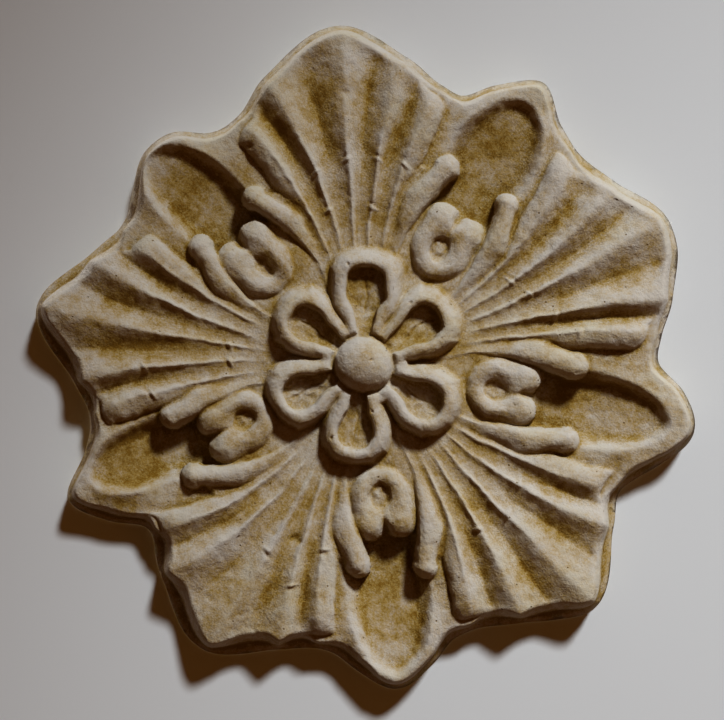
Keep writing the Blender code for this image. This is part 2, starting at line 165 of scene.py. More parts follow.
@dataclass(frozen=True)
class Unevenness:
    """Smooth seeded unevenness over the front.

    Attributes:
        seed: picks the pattern.
        cell: size of its waves.
        knots: waves across before the pattern comes again.
    """

    seed: int
    cell: float
    knots: int = 96

    def over(self, at: Places) -> Field:
        """Value of the pattern at each place.

        Args:
            at: the places.

        Returns:
            Values from -1 to 1.
        """
        lattice = np.random.default_rng(self.seed).uniform(-1.0, 1.0, (self.knots, self.knots))
        u = at.x / self.cell
        v = at.y / self.cell
        i = np.floor(u).astype(int)
        j = np.floor(v).astype(int)
        s = ease(0.0, 1.0, u - i)
        t = ease(0.0, 1.0, v - j)
        left = i % self.knots
        right = (i + 1) % self.knots
        low = j % self.knots
        high = (j + 1) % self.knots
        bottom = lattice[left, low] * (1.0 - s) + lattice[right, low] * s
        top = lattice[left, high] * (1.0 - s) + lattice[right, high] * s
        return bottom * (1.0 - t) + top * t


@dataclass(frozen=True)
class Hand:
    """The carver's hand: how lines wander and how even the surfaces are.

    Attributes:
        wander: how far long lines stray.
        wander_cell: length of such a stray.
        tremble: how far short stretches of them stray.
        tremble_cell: length of such a stretch.
        swell: height of the broad unevenness of surfaces.
        swell_cell: size of its waves.
        facet: height of the small unevenness of surfaces.
        facet_cell: size of its waves.
    """

    wander: float = 0.55 * MM
    wander_cell: float = 10.0 * MM
    tremble: float = 0.22 * MM
    tremble_cell: float = 2.6 * MM
    swell: float = 0.42 * MM
    swell_cell: float = 7.5 * MM
    facet: float = 0.17 * MM
    facet_cell: float = 1.9 * MM

    def moved(self, at: Places) -> Places:
        """Moves places as an unsteady hand does.

        Args:
            at: the places.

        Returns:
            The places that the hand took these for.
        """
        x = at.x + self.wander * Unevenness(11, self.wander_cell).over(at)
        y = at.y + self.wander * Unevenness(12, self.wander_cell).over(at)
        x = x + self.tremble * Unevenness(13, self.tremble_cell).over(at)
        y = y + self.tremble * Unevenness(14, self.tremble_cell).over(at)
        return Places(x, y)

    def surface(self, at: Places) -> Field:
        """Unevenness of a surface that was meant to be even.

        Args:
            at: the places.

        Returns:
            The height that the hand leaves.
        """
        broad = self.swell * Unevenness(21, self.swell_cell).over(at)
        small = self.facet * Unevenness(22, self.facet_cell).over(at)
        return broad + small


@dataclass(frozen=True)
class Collar:
    """A small collar across a ridge, where its outer part begins.

    Attributes:
        ridge: which ridge it is on.
        reach: how far out it is.
        hand: 1 where the outer part steps to the left, -1 to the right.
        rise: height of the collar.
        step: how far it stands to its side.
        groove: depth of the groove behind it.
    """

    ridge: int
    reach: float
    hand: float = 1.0
    rise: float = 1.0 * MM
    step: float = 0.8 * MM
    groove: float = 0.6 * MM

    def height(self, far: Field, side: Field) -> Field:
        """Height that it adds to the ridge.

        Args:
            far: distance out from the middle, along the ridge.
            side: distance to the ridge's left.

        Returns:
            Its height, below 0 in the groove.
        """
        far = far - self.reach + 0.35 * side * self.hand
        rise = self.rise * bead(far, 0.65 * MM) * bead(side - self.step * self.hand, 1.7 * MM)
        return rise - self.groove * bead(far - 1.5 * MM, 0.8 * MM) * bead(side, 1.5 * MM)


@dataclass(frozen=True)
class Fan:
    """One fan of seven ridges with flutes between them.

    Attributes:
        axis: direction of the fan.
        root_turn: how far its roots are turned off the axis.
        root_step: angle between roots.
        tip_angles: angles of the tips off the axis.
        tip_shares: reaches of the tips as shares of the plaque's.
        opens: how deep each flute still is at the outline.
        collars: the collars on its ridges.
        root_r: where the ridges begin.
        flute_from: where the flutes begin.
        bend: how late the ridges bend away from their roots.
        shelf: height of the ground round the fan.
        crest_root: height of the crests at their roots.
        crest_rise: how much higher they are farther out.
        crest_soft: how rounded the crests are.
        root_depth: depth of the flutes at their roots.
        inner_depth: what it gains by the middle of the fan.
        outer_depth: what it gains by the outer part.
        droop: how far the crests sink towards the outline.
        scallop: how far the edge leans in between ridges, as a share of their spacing.
        widest: the spacing past which it leans in no farther.
        arris_h: height of the thin line along a crest.
        arris_w: its half width.
        nose: over what length a ridge's end rounds off.
        nose_back: how far behind the outline each ridge's end stays.
        lips: share of the height that each ridge keeps at its end.
        finger_root: half width of a finger at its root.
        finger_tips: radii of the knobs, on the left and on the right.
        finger_start: height of a finger at its root.
        finger_top: height of a finger and its knob.
        finger_fall: how far a finger's sides fall.
        finger_gap: how far the flute next to a finger opens down by the knob.
        flank_w: width of the fan's side.
        flank_fall: how far it falls before it turns steep.
    """

    axis: float
    root_turn: float
    root_step: float
    tip_angles: tuple[float, ...]
    tip_shares: tuple[float, ...]
    opens: tuple[float, ...]
    collars: tuple[Collar, ...] = ()
    root_r: float = 38.0 * MM
    flute_from: float = 30.0 * MM
    bend: float = 1.35
    shelf: float = 13.0 * MM
    crest_root: float = 13.2 * MM
    crest_rise: float = 6.4 * MM
    crest_soft: float = 1.9 * MM
    root_depth: float = 0.40 * MM
    inner_depth: float = 1.25 * MM
    outer_depth: float = 3.7 * MM
    droop: float = 1.6 * MM
    scallop: float = 0.22
    widest: float = 22.0 * MM
    arris_h: float = 0.52 * MM
    arris_w: float = 0.78 * MM
    nose: float = 6.5 * MM
    nose_back: tuple[float, ...] = (0.0, 5.5 * MM, 0.5 * MM, 0.0, 0.5 * MM, 5.0 * MM, 0.0)
    lips: tuple[float, ...] = (0.0, 0.0, 0.5, 0.55, 0.5, 0.0, 0.0)
    finger_root: float = 2.2 * MM
    finger_tips: tuple[float, float] = (5.1 * MM, 5.1 * MM)
    finger_start: float = 13.4 * MM
    finger_top: float = 19.2 * MM
    finger_fall: float = 10.0 * MM
    finger_gap: float = 16.0 * MM
    flank_w: float = 6.6 * MM
    flank_fall: float = 7.5 * MM

    def reach(self, ridge: int) -> float:
        """How far out a ridge ends."""
        return self.tip_shares[ridge] * PLAQUE_R

    def ridge_angle(self, ridge: int, r: Field) -> Field:
        """Angle of a ridge off the axis.

        Args:
            ridge: the ridge, 0 on the left to 6 on the right.
            r: distance from the middle.

        Returns:
            Its angle at each distance.
        """
        root = self.root_turn + (3 - ridge) * self.root_step
        t = np.clip((r - self.root_r) / (self.reach(ridge) - self.root_r), 0.0, 1.3)
        return blend(root, self.tip_angles[ridge], t ** self.bend)

    def across(self, flute: int, at: Places) -> tuple[Field, Field]:
        """How far across a flute each place is.

        Args:
            flute: the flute, 0 on the left to 5 on the right.
            at: the places.

        Returns:
            A share, 0 on its left ridge and 1 on its right one, and the angle between the two.
        """
        high = self.ridge_angle(flute, at.r)
        span = np.maximum(high - self.ridge_angle(flute + 1, at.r), 0.001)
        return (high - at.off(self.axis)) / span, span

    def crest(self, r: Field) -> Field:
        """Height of the crests at each distance from the middle."""
        rise = 0.55 * ease(self.root_r, 72.0 * MM, r) + 0.45 * ease(55.0 * MM, 92.0 * MM, r)
        return self.crest_root + self.crest_rise * rise

    def depth(self, r: Field) -> Field:
        """Depth of the flutes below the crests at each distance from the middle."""
        inner = self.root_depth + self.inner_depth * ease(self.root_r, 68.0 * MM, r)
        return inner + self.outer_depth * ease(54.0 * MM, 94.0 * MM, r)

    def section(self, v: Field, half: Field, r: Field) -> Field:
        """Section of a flute, with its crests rounded.

        Args:
            v: 0 along the flute's bottom, 1 along its crests.
            half: half the flute's width.
            r: distance from the middle.

        Returns:
            Height as a share, 0 at the bottom and 1 on the crests.
        """
        soft = 0.3 * MM + self.crest_soft * ease(62.0 * MM, 96.0 * MM, r)
        whole = np.hypot(half, soft) - soft
        v = np.clip(1.0 - (np.hypot((1.0 - v) * half, soft) - soft) / whole, 0.0, 1.0)
        outer = 0.25 * (1.0 - (1.0 - v) ** 2.0) + 0.75 * v ** 1.7
        share = ease(62.0 * MM, 92.0 * MM, r)
        return v ** 2.0 * (1.0 - share) + outer * share

    def arris(self, out: Field, at: Places, to_edge: Field) -> Field:
        """The thin raised line along a crest.

        Args:
            out: distance off the crest.
            at: the places.
            to_edge: distance in from the outline.

        Returns:
            Its height over the crest.
        """
        r = at.r
        height = self.arris_h * ease(self.root_r, 45.0 * MM, r) * (1.0 - 0.9 * ease(72.0 * MM, 94.0 * MM, r))
        lumps = 1.0 + 0.55 * Unevenness(42, 2.3 * MM).over(at)
        return height * lumps * bead(out, self.arris_w) * ease(7.0 * MM, 13.0 * MM, to_edge)

    def flank(self, off: Field, at: Places, to_edge: Field, hand: float) -> Field:
        """The side of the fan past its outermost long ridge.

        Args:
            off: angle off the axis.
            at: the places.
            to_edge: distance in from the outline.
            hand: 1 for the left side, -1 for the right.

        Returns:
            Its height.
        """
        ridge, finger = (1, 0) if hand > 0 else (5, 6)
        r = at.r
        end = self.reach(finger) - self.finger_tips[finger // 6]
        out = r * np.radians(hand * (off - self.ridge_angle(ridge, r)))
        width = self.flank_w * (0.15 + 0.85 * ease(end - 20.0 * MM, end, r))
        back = to_edge - self.nose_back[ridge] - 3.0 * MM * np.clip(out / width, 0.0, 1.5) ** 2
        off_side = np.clip(out / width, 0.0, 1.0)
        fall = self.crest(r) - self.flank_fall * (1.0 - dome(off_side, 1.0))
        fall = fall - self.droop * ease(17.0 * MM, 2.0 * MM, to_edge)
        fall = fall - 4.0 * np.maximum(out - width, 0.0) + self.arris(out, at, to_edge)
        nose = round_end(back, self.nose)
        return np.where(fall > self.shelf, self.shelf + (fall - self.shelf) * nose, fall)

    def finger(self, off: Field, at: Places, ridge: int) -> Field:
        """A finger along a short ridge, with the knob that it ends in.

        Args:
            off: angle off the axis.
            at: the places.
            ridge: the short ridge.

        Returns:
            Its height, 0 away from it.
        """
        r = at.r
        knob_r = self.finger_tips[ridge // 6]
        end = self.reach(ridge) - knob_r
        widening = ease(self.root_r + 6.0 * MM, end + 2.0 * MM, r)
        half = blend(self.finger_root, knob_r, widening)
        top = blend(self.finger_start, self.finger_top, ease(self.root_r, 66.0 * MM, r))
        toward = -1.0 if ridge == 0 else 1.0
        aside = toward * r * np.radians(off - self.ridge_angle(ridge, r))
        spread = ease(end - 1.0 * MM, end - 14.0 * MM, r)
        gentle = aside / ((1.0 + 0.75 * spread) * half)
        steep = -aside / half
        reach = np.where(aside > 0.0, gentle, steep)
        fall = self.finger_fall * np.where(aside > 0.0, 1.0 - 0.45 * spread, 1.0)
        shaft = top - fall * (1.0 - dome(reach, 1.0))
        line = bead(aside + 0.55 * half, 0.55 * MM) * ease(self.root_r, 50.0 * MM, r)
        shaft = shaft + 0.45 * MM * line * (0.6 + 0.6 * Unevenness(41, 2.2 * MM).over(at))
        shaft = np.where((r < end) & (reach < 1.0), shaft, 0.0)
        tip = np.radians(self.axis + float(self.ridge_angle(ridge, np.array(end))))
        out = np.hypot(at.x - end * np.cos(tip), at.y - end * np.sin(tip))
        knob = self.finger_top - self.finger_fall * (1.0 - dome(out, knob_r))
        knob = knob - 0.30 * MM * bead(out - 2.6 * MM, 0.5 * MM)
        return np.maximum(shaft, np.where(out < knob_r, knob, 0.0))

    def collar_height(self, at: Places) -> Field:
        """Height that the collars add.

        Args:
            at: the places.

        Returns:
            The height of them all together.
        """
        height = np.zeros_like(at.x)
        for collar in self.collars:
            turn = self.axis + float(self.ridge_angle(collar.ridge, np.array(collar.reach)))
            height = height + collar.height(*at.along(turn))
        return height

    def relief(self, at: Places, to_edge: Field) -> Field:
        """Height of the fan.

        Args:
            at: the places.
            to_edge: distance in from the outline.

        Returns:
            Its height, 0 outside it.
        """
        r = at.r
        off = at.off(self.axis)
        depth = self.depth(r)
        crest = self.crest(r) - depth * (1.0 - ease(self.flute_from, self.root_r, r))
        crest = crest - self.droop * ease(17.0 * MM, 2.0 * MM, to_edge)
        depth = depth * ease(self.flute_from, self.root_r, r)
        left = self.flank(off, at, to_edge, 1.0)
        right = self.flank(off, at, to_edge, -1.0)
        height = np.zeros_like(r)
        for k in range(6):
            u, span = self.across(k, at)
            v = np.clip(np.abs(1.0 - 2.0 * u), 0.0, 1.0)
            deep = self.opens[k] + (1.0 - self.opens[k]) * ease(2.5 * MM, 12.0 * MM, to_edge)
            over = ease(0.2, 0.8, u)
            back = to_edge - blend(self.nose_back[k], self.nose_back[k + 1], over)
            back = back - 2.5 * MM * (1.0 - v) ** 2
            half = np.maximum(0.5 * np.radians(span) * r, 0.5 * MM)
            off_finger = u if k == 0 else 1.0 - u if k == 5 else np.ones_like(u)
            low = np.minimum(crest, self.finger_top - 1.8 * MM)
            level = blend(low, crest, ease(0.0, 0.8, off_finger))
            flute = level - depth * (1.0 - self.section(v, half, r)) * deep
            out = np.minimum(np.abs(u), np.abs(1.0 - u)) * np.radians(span) * r
            flute = flute + self.arris(out, at, to_edge)
            kept = blend(self.lips[k], self.lips[k + 1], over)
            flute = self.shelf + (flute - self.shelf) * (kept + (1.0 - kept) * round_end(back, self.nose))
            if k in (0, 5):
                end = self.reach(0 if k == 0 else 6) - self.finger_tips[k // 5]
                opening = ease(end - 3.0 * MM, end + 7.0 * MM, r) * ease(1.0, 0.4, off_finger)
                flute = np.maximum(left if k == 0 else right, flute - self.finger_gap * opening)
            height = np.where((u >= 0.0) & (u <= 1.0), flute, height)
        past_left = (off > self.ridge_angle(0, r)) & (left > 0.0) & (r > self.root_r)
        past_right = (off < self.ridge_angle(6, r)) & (right > 0.0) & (r > self.root_r)
        height = np.where(past_right, right, np.where(past_left, left, height))
        height = height + self.collar_height(at) * (height > 0.0)
        for ridge in (0, 6):
            height = raise_to(height, self.finger(off, at, ridge), 1.6 * MM)
        return height

    def set_back(self, at: Places) -> Field:
        """How far the edge leans in between the ridges' ends.

        Args:
            at: the places.

        Returns:
            The distance, 0 along the ridges and outside the fan.
        """
        back = np.zeros_like(at.x)
        for k in range(6):
            u, span = self.across(k, at)
            share = 0.5 if k in (0, 5) else 1.0
            wide = share * self.scallop * np.minimum(np.radians(span) * at.r, self.widest)
            arch = np.clip(4.0 * u * (1.0 - u), 0.0, 1.0) ** 1.5
            back = np.where((u >= 0.0) & (u <= 1.0), wide * arch, back)
        return back

    def flow(self, at: Places) -> Field:
        """Line that each place was fluted along.

        Args:
            at: the places.

        Returns:
            The line's angle round the plaque.
        """
        root = np.zeros_like(at.x)
        for k in range(6):
            u, _ = self.across(k, at)
            here = (u >= 0.0) & (u <= 1.0)
            root = np.where(here, self.root_turn + (3.0 - k - u) * self.root_step, root)
        return np.where(np.abs(root) > 0.0, self.axis + root * 2.2, at.angle)


@dataclass(frozen=True)
class Pocket:
    """The scooped end of a cup.

    Attributes:
        axis: the way it points.
        end_share: its end as a share of the plaque's reach.
        left: half width to the left.
        right: half width to the right.
        floor: height of its deepest place.
        start: where its round end begins.
        mouth: where it opens towards the eye.
    """

    axis: float
    end_share: float
    left: float
    right: float
    floor: float
    start: float = 84.0 * MM
    mouth: float = 58.0 * MM

    def inside(self, far: Field, side: Field) -> Field:
        """Distance in from the pocket's rim.

        Args:
            far: distance out from the middle, along the axis.
            side: distance to the axis's left.

        Returns:
            The distance, below 0 outside.
        """
        run = self.end_share * PLAQUE_R - self.start
        t = np.clip((far - self.start) / run, 0.0, 1.0)
        width = np.where(side > 0.0, self.left, self.right)
        size = np.maximum(np.hypot(side / width, t), 1e-6)
        steepness = np.hypot(side / width ** 2, t / run) / size
        return np.minimum((1.0 - size) / np.maximum(steepness, 1e-3), far - self.mouth)


@dataclass(frozen=True)
class Eye:
    """A thick ring round a hole, split at its outer end into two lobes.

    Attributes:
        angle: the way it points.
        reach: how far out the middle of its ring is.
        hole: half width of its hole.
        stretch: how much longer than wide the hole is.
        radius: the ring's outer radius.
        base: height of its foot.
        top: height of its top.
        floor: height of the hole's floor.
        side_w: width of its rounded side.
        lobe_out: how far past the ring's middle the lobes are.
        lobe_aside: how far apart they are.
        lobe_r: their radius.
    """

    angle: float
    reach: float
    hole: float = 4.4 * MM
    stretch: float = 1.25
    radius: float = 11.6 * MM
    base: float = 10.4 * MM
    top: float = 18.4 * MM
    floor: float = 12.8 * MM
    side_w: float = 6.4 * MM
    lobe_out: float = 8.8 * MM
    lobe_aside: float = 5.4 * MM
    lobe_r: float = 6.6 * MM

    def lay(self, height: Field, at: Places) -> Field:
        """Lays the eye over the ground.

        Args:
            height: the ground.
            at: the places.

        Returns:
            The ground with the eye on it.
        """
        far, side = at.along(self.angle)
        far = far - self.reach
        ring = np.hypot(far, side) - self.radius
        lobes = np.hypot(far - self.lobe_out, np.abs(side) - self.lobe_aside) - self.lobe_r
        inside = -cut_to(ring, lobes, 4.0 * MM)
        body = blend(self.base, self.top, round_end(inside, self.side_w))
        body = body - 0.12 * MM * bead(inside - 3.0 * MM, 0.5 * MM)
        body = body - 0.09 * np.maximum(far - 3.0 * MM, 0.0)
        from_hole = np.hypot((far + 0.6 * MM) / self.stretch, side) - self.hole
        near_hole = 1.0 - np.clip(from_hole / (4.6 * MM), 0.0, 1.0)
        body = body - 2.6 * MM * near_hole ** 2
        opening = ease(6.0 * MM, self.lobe_out + 5.0 * MM, far)
        cleft = (0.7 * MM + 3.6 * MM * opening) * ease(2.0 * MM, 6.0 * MM, far)
        body = body - cleft * bead(side, 0.8 * MM * (1.0 + 1.3 * opening))
        body = np.where(inside > 0.0, body, 0.0)
        laid = raise_to(height, body, 1.8 * MM)
        floor = self.floor + 0.5 * MM * Unevenness(52, 1.6 * MM).over(at)
        return blend(laid, np.minimum(floor, laid), ease(0.0, -1.6 * MM, from_hole))


@dataclass(frozen=True)
class Cup:
    """One cup: its outline, its pocket and the eye in front of it.

    Attributes:
        axis: direction of its outline.
        outline_shares: reaches of the outline from one side to the other.
        pocket: the scooped end.
        eye: the eye.
        lip_w: how fast its lip falls outwards.
        lip_h: height of the lip.
        bed_half: half width of the eye's bed.
        bed_floor: height of the bed.
        end_floor: height of the floor at the pocket's end.
    """

    axis: float
    outline_shares: tuple[float, ...]
    pocket: Pocket
    eye: Eye
    lip_w: float = 1.6 * MM
    lip_h: float = 2.6 * MM
    bed_half: float = 13.5 * MM
    bed_floor: float = 12.4 * MM
    end_floor: float = 10.8 * MM

    def ground(self, at: Places, shelf: float) -> Field:
        """The shelf with the cup scooped out of it.

        Args:
            at: the places.
            shelf: height of the shelf.

        Returns:
            Height of the bed of the eye, the pocket and its lip.
        """
        far, side = at.along(self.pocket.axis)
        inside = self.pocket.inside(far, side)
        eye_far, eye_side = at.along(self.eye.angle)
        bed = self.bed_half - np.hypot(eye_far - np.clip(eye_far, 46.0 * MM, 66.0 * MM), eye_side)
        hollow = raise_to(inside, bed, 2.0 * MM)
        deepest = self.pocket.floor
        end = self.pocket.end_share * PLAQUE_R
        floor = blend(self.bed_floor, deepest, ease(56.0 * MM, 66.0 * MM, far))
        floor = floor + (self.end_floor - deepest) * ease(70.0 * MM, end, far)
        floor = floor + 1.0 * MM * np.clip(side / (12.0 * MM), -1.0, 1.0) ** 2
        beyond = np.maximum(-inside, 0.0) / self.lip_w
        lip = self.lip_h * ease(82.0 * MM, 98.0 * MM, far) * (1.0 + beyond) * np.exp(-beyond)
        lip = lip * ease(4.0 * MM, 0.0, inside)
        return blend(shelf, floor, ease(-0.6 * MM, 5.6 * MM, hollow)) + lip


@dataclass(frozen=True)
class Petal:
    """One petal, round a keyhole hollow.

    Attributes:
        angle: the way it points.
        reach: how far out the middle of its round end is.
        hollow: half width of the round end.
        squareness: 2 for a round end, more for a squarer one.
        neck: half width of the narrow end.
    """

    angle: float
    reach: float
    hollow: float = 6.4 * MM
    squareness: float = 2.4
    neck: float = 2.9 * MM

    def outside(self, far: Field, side: Field) -> Field:
        """Distance out of the keyhole hollow.

        Args:
            far: distance out from the middle, along the petal.
            side: distance to its left.

        Returns:
            The distance, below 0 in the hollow.
        """
        aside = np.abs(side)
        power = self.squareness
        end = (aside ** power + np.abs(far - self.reach) ** power) ** (1.0 / power) - self.hollow
        neck = self.neck + 0.20 * np.clip(far - 11.0 * MM, 0.0, 13.0 * MM)
        channel = np.maximum(aside - neck, np.maximum(far - self.reach, 6.0 * MM - far))
        return cut_to(end, channel, 2.6 * MM)


@dataclass(frozen=True)
class Flower:
    """The flower: hollow petals with thick rims round a ball.

    Attributes:
        petals: the petals.
        ball_r: the ball's radius.
        ball_spring: height that it springs from.
        ball_top: height of its top.
        floor: height of the hollows' floors.
        root: height of the rims' feet.
        top: height of the rims.
        crown: width of a rim's crown.
        shoulder: how far the crown falls outwards.
        flanks: widths of a rim's outer side, on the lit and on the shaded side.
        ring_r: radius of the ring that joins the rims round the ball.
        ring_w: its half width.
        ring_fall: how far its sides fall.
        moat: height of the ground round the ball.
    """

    petals: tuple[Petal, ...]
    ball_r: float = 10.5 * MM
    ball_spring: float = 19.0 * MM
    ball_top: float = 30.0 * MM
    floor: float = 15.2 * MM
    root: float = 9.6 * MM
    top: float = 22.4 * MM
    crown: float = 3.5 * MM
    shoulder: float = 1.5 * MM
    flanks: tuple[float, float] = (4.8 * MM, 2.9 * MM)
    ring_r: float = 13.4 * MM
    ring_w: float = 2.3 * MM
    ring_fall: float = 2.6 * MM
    moat: float = 19.6 * MM

    def rim(self, out: Field, flank: Field) -> Field:
        """Height of a petal's rim.

        Args:
            out: distance out of its hollow.
            flank: width of its outer side.

        Returns:
            Its height.
        """
        lead = 1.3 * MM
        inner = np.clip(1.0 - out / lead, 0.0, 1.0)
        over = np.clip((out - lead) / (self.crown - lead), 0.0, 1.0)
        past = np.clip((out - self.crown) / flank, 0.0, 1.0)
        crown = self.top - 0.9 * MM * inner ** 2 - self.shoulder * over ** 2
        return crown - (self.top - self.shoulder - self.root) * past ** 1.2

    def lay(self, height: Field, at: Places) -> Field:
        """Lays the flower over the middle.

        Args:
            height: the ground.
            at: the places.

        Returns:
            The ground with the flower on it.
        """
        rims = np.zeros_like(height)
        nearest = np.full_like(height, 1.0)
        floor = np.full_like(height, self.floor)
        for petal in self.petals:
            far, side = at.along(petal.angle)
            out = petal.outside(far, side)
            nearest = np.minimum(nearest, out)
            turn = np.radians(petal.angle)
            x = at.x - petal.reach * np.cos(turn)
            y = at.y - petal.reach * np.sin(turn)
            lit = LIT_SIDE[0] * x + LIT_SIDE[1] * y
            shade = 0.5 - 0.5 * lit / np.maximum(np.hypot(x, y), 1.0 * MM)
            flank = blend(self.flanks[0], self.flanks[1], ease(0.0, 1.0, shade))
            here = (out < self.crown + flank) & (far > 6.0 * MM)
            rims = raise_to(rims, np.where(here, self.rim(out, flank), 0.0), 0.8 * MM)
            wave = 0.6 * MM * np.sin(far / (2.1 * MM) + petal.angle)
            line = bead(side - wave, 0.5 * MM) * ease(15.0 * MM, 20.0 * MM, far)
            line = line * ease(petal.reach + 5.0 * MM, petal.reach, far)
            floor = floor - 0.6 * MM * line * (out < 0.0)
            floor = floor + 0.9 * MM * ease(-3.0 * MM, -0.4 * MM, out) * (out < 0.0)
        r = at.r
        ring = self.top - self.ring_fall * (1.0 - dome(r - self.ring_r, self.ring_w))
        rims = np.where(r < self.ring_r, np.minimum(rims, ring), rims)
        joined = np.where(np.abs(r - self.ring_r) < self.ring_w, ring - 0.8 * MM, 0.0)
        rims = raise_to(rims, joined, 1.2 * MM)
        height = raise_to(height, rims, 1.0 * MM)
        crumple = Unevenness(51, 3.1 * MM).over(at) + 0.5 * Unevenness(53, 1.5 * MM).over(at)
        floor = floor + 0.55 * MM * (0.5 - np.abs(crumple)) + 2.0 * MM * ease(19.0 * MM, 12.5 * MM, r)
        height = blend(height, np.minimum(floor, height), ease(0.0, -0.9 * MM, nearest))
        near_ball = ease(self.ring_r - 1.0 * MM, self.ring_r - 2.6 * MM, r)
        height = blend(height, np.minimum(self.moat, height), near_ball)
        ball = blend(self.ball_spring, self.ball_top, dome(r, self.ball_r))
        return np.where(r < self.ball_r, np.maximum(height, ball), height)


@dataclass(frozen=True)
class Nick:
    """A small dent, pinhole or chip.

    Attributes:
        pixel: its place in the picture.
        radius: its half width.
        depth: how deep it goes.
    """

    pixel: tuple[float, float]
    radius: float
    depth: float

    def cut(self, at: Places) -> Field:
        """Depth that it takes off at each place."""
        return self.depth * bead(at.near(self.pixel), self.radius)


# The outline of a cup is given at these angles off its axis
CUP_SPREAD = (12.0, 7.0, 0.0, -7.0, -12.0)


@dataclass(frozen=True)
class Carving:
    """The whole front.

    Attributes:
        fans: the fans.
        cups: the cups between them.
        flower: the flower over the middle.
        nicks: small damage and casting holes.
        hand: the carver's hand.
        shelf: height of the ground between the forms.
        wall_h: height that the side wall reaches before it rounds over.
        wall_draft: how far in the wall leans on that height.
        edge_lead: how far in from the outline the rounding begins.
        edge_round_w: width of the rounding.
        edge_round_h: height of the rounding.
        edge_soft: how softly the rounding meets the front.
        lean_run: how far the wall is set back to double its draft.
        mark_gap: angle below which a fan's mark gives way to a cup's.
        fan_half: half the angle that a fan's tooling covers.
    """

    fans: tuple[Fan, ...]
    cups: tuple[Cup, ...]
    flower: Flower
    nicks: tuple[Nick, ...]
    hand: Hand = Hand()
    shelf: float = 13.0 * MM
    wall_h: float = 9.5 * MM
    wall_draft: float = 4.6 * MM
    edge_lead: float = 1.8 * MM
    edge_round_w: float = 6.0 * MM
    edge_round_h: float = 10.6 * MM
    edge_soft: float = 2.0 * MM
    lean_run: float = 5.0 * MM
    mark_gap: float = 1.0
    fan_half: float = 36.0

    def marks(self) -> list[tuple[float, float]]:
        """Points that the outline runs through.

        Returns:
            Angle and reach of each, in order round the plaque.
        """
        marks = []
        for cup in self.cups:
            for angle, share in zip(CUP_SPREAD, cup.outline_shares):
                marks.append(((cup.axis + angle) % FULL_TURN, share * PLAQUE_R))
        for fan in self.fans:
            for ridge in range(1, 6):
                angle = (fan.axis + fan.tip_angles[ridge]) % FULL_TURN
                if min(abs(angle - mark[0]) for mark in marks) > self.mark_gap:
                    marks.append((angle, fan.reach(ridge)))
        return sorted(marks)

    def outline(self, angle: Field) -> Field:
        """Reach of the outline: a smooth closed curve through the marks.

        Args:
            angle: the angles.

        Returns:
            The reach at each angle.
        """
        marks = self.marks()
        at = np.array([mark[0] for mark in marks])
        reach = np.array([mark[1] for mark in marks])
        at = np.concatenate([at - FULL_TURN, at, at + FULL_TURN])
        reach = np.tile(reach, 3)
        gap = np.diff(at)
        slope = np.diff(reach) / gap
        lean = np.zeros_like(reach)
        lean[1:-1] = (slope[1:] * gap[:-1] + slope[:-1] * gap[1:]) / (gap[1:] + gap[:-1])
        where = np.mod(angle, FULL_TURN)
        i = np.clip(np.searchsorted(at, where, side="right") - 1, 0, len(gap) - 1)
        t = (where - at[i]) / gap[i]
        start = (2.0 * t - 3.0) * t * t + 1.0
        bend_out = ((t - 2.0) * t + 1.0) * t * gap[i] * lean[i]
        bend_in = (t - 1.0) * t * t * gap[i] * lean[i + 1]
        reach_at = start * reach[i] + bend_out + (1.0 - start) * reach[i + 1] + bend_in
        turn = np.radians(where)
        wave = Unevenness(31, 0.075).over(Places(np.cos(turn) + 5.0, np.sin(turn) + 5.0))
        return reach_at + 0.35 * MM * wave

    def squareness(self, angle: Field) -> Field:
        """How square the outline stands to the radius.

        Args:
            angle: the angles.

        Returns:
            Distance square to the outline as a share of the distance along the radius.
        """
        step = 1.5
        climb = (self.outline(angle + step) - self.outline(angle - step)) / np.radians(2.0 * step)
        return 1.0 / np.hypot(1.0, climb / self.outline(angle))

    def wall(self, to_edge: Field) -> Field:
        """Height of the side wall and of its rounding.

        Args:
            to_edge: distance in from the outline.

        Returns:
            The highest that the stone can be, out of reach past the edge band.
        """
        wall = self.wall_h * np.clip(to_edge / self.wall_draft, 0.0, 1.0)
        wall = wall + self.edge_round_h * round_end(to_edge - self.edge_lead, self.edge_round_w)
        return np.where(to_edge < EDGE_BAND, wall, 0.1)

    def height(self, at: Places) -> Field:
        """Height of the front over the back.

        Args:
            at: the places.

        Returns:
            The height at each place.
        """
        to_edge = self.outline(at.angle) - at.r
        true = at
        at = self.hand.moved(at)
        height = np.full_like(at.x, self.shelf)
        for cup in self.cups:
            ground = cup.ground(at, self.shelf)
            height = np.where(np.abs(ground - self.shelf) > np.abs(height - self.shelf), ground, height)
        for fan in self.fans:
            height = raise_to(height, fan.relief(at, to_edge), 0.6 * MM)
        for cup in self.cups:
            height = cup.eye.lay(height, at)
        height = self.flower.lay(height, at)
        ball = ease(self.flower.ball_r + 1.0 * MM, self.flower.ball_r - 1.0 * MM, at.r)
        height = height + self.hand.surface(true) * (1.0 - 0.7 * ball)
        for nick in self.nicks:
            height = height - nick.cut(true)
        lean = 1.0 + sum(fan.set_back(at) for fan in self.fans) / self.lean_run
        height = cut_to(height, self.wall(to_edge * self.squareness(at.angle) / lean), self.edge_soft)
        return np.where(to_edge > 0.0, np.maximum(height, 0.0), 0.0)

    def flow(self, at: Places) -> Field:
        """Line that the tool and the wiping cloth ran along.

        Args:
            at: the places.

        Returns:
            The line's angle at each place.
        """
        flow = at.angle
        for fan in self.fans:
            flow = np.where(np.abs(at.off(fan.axis)) < self.fan_half, fan.flow(at), flow)
        return flow


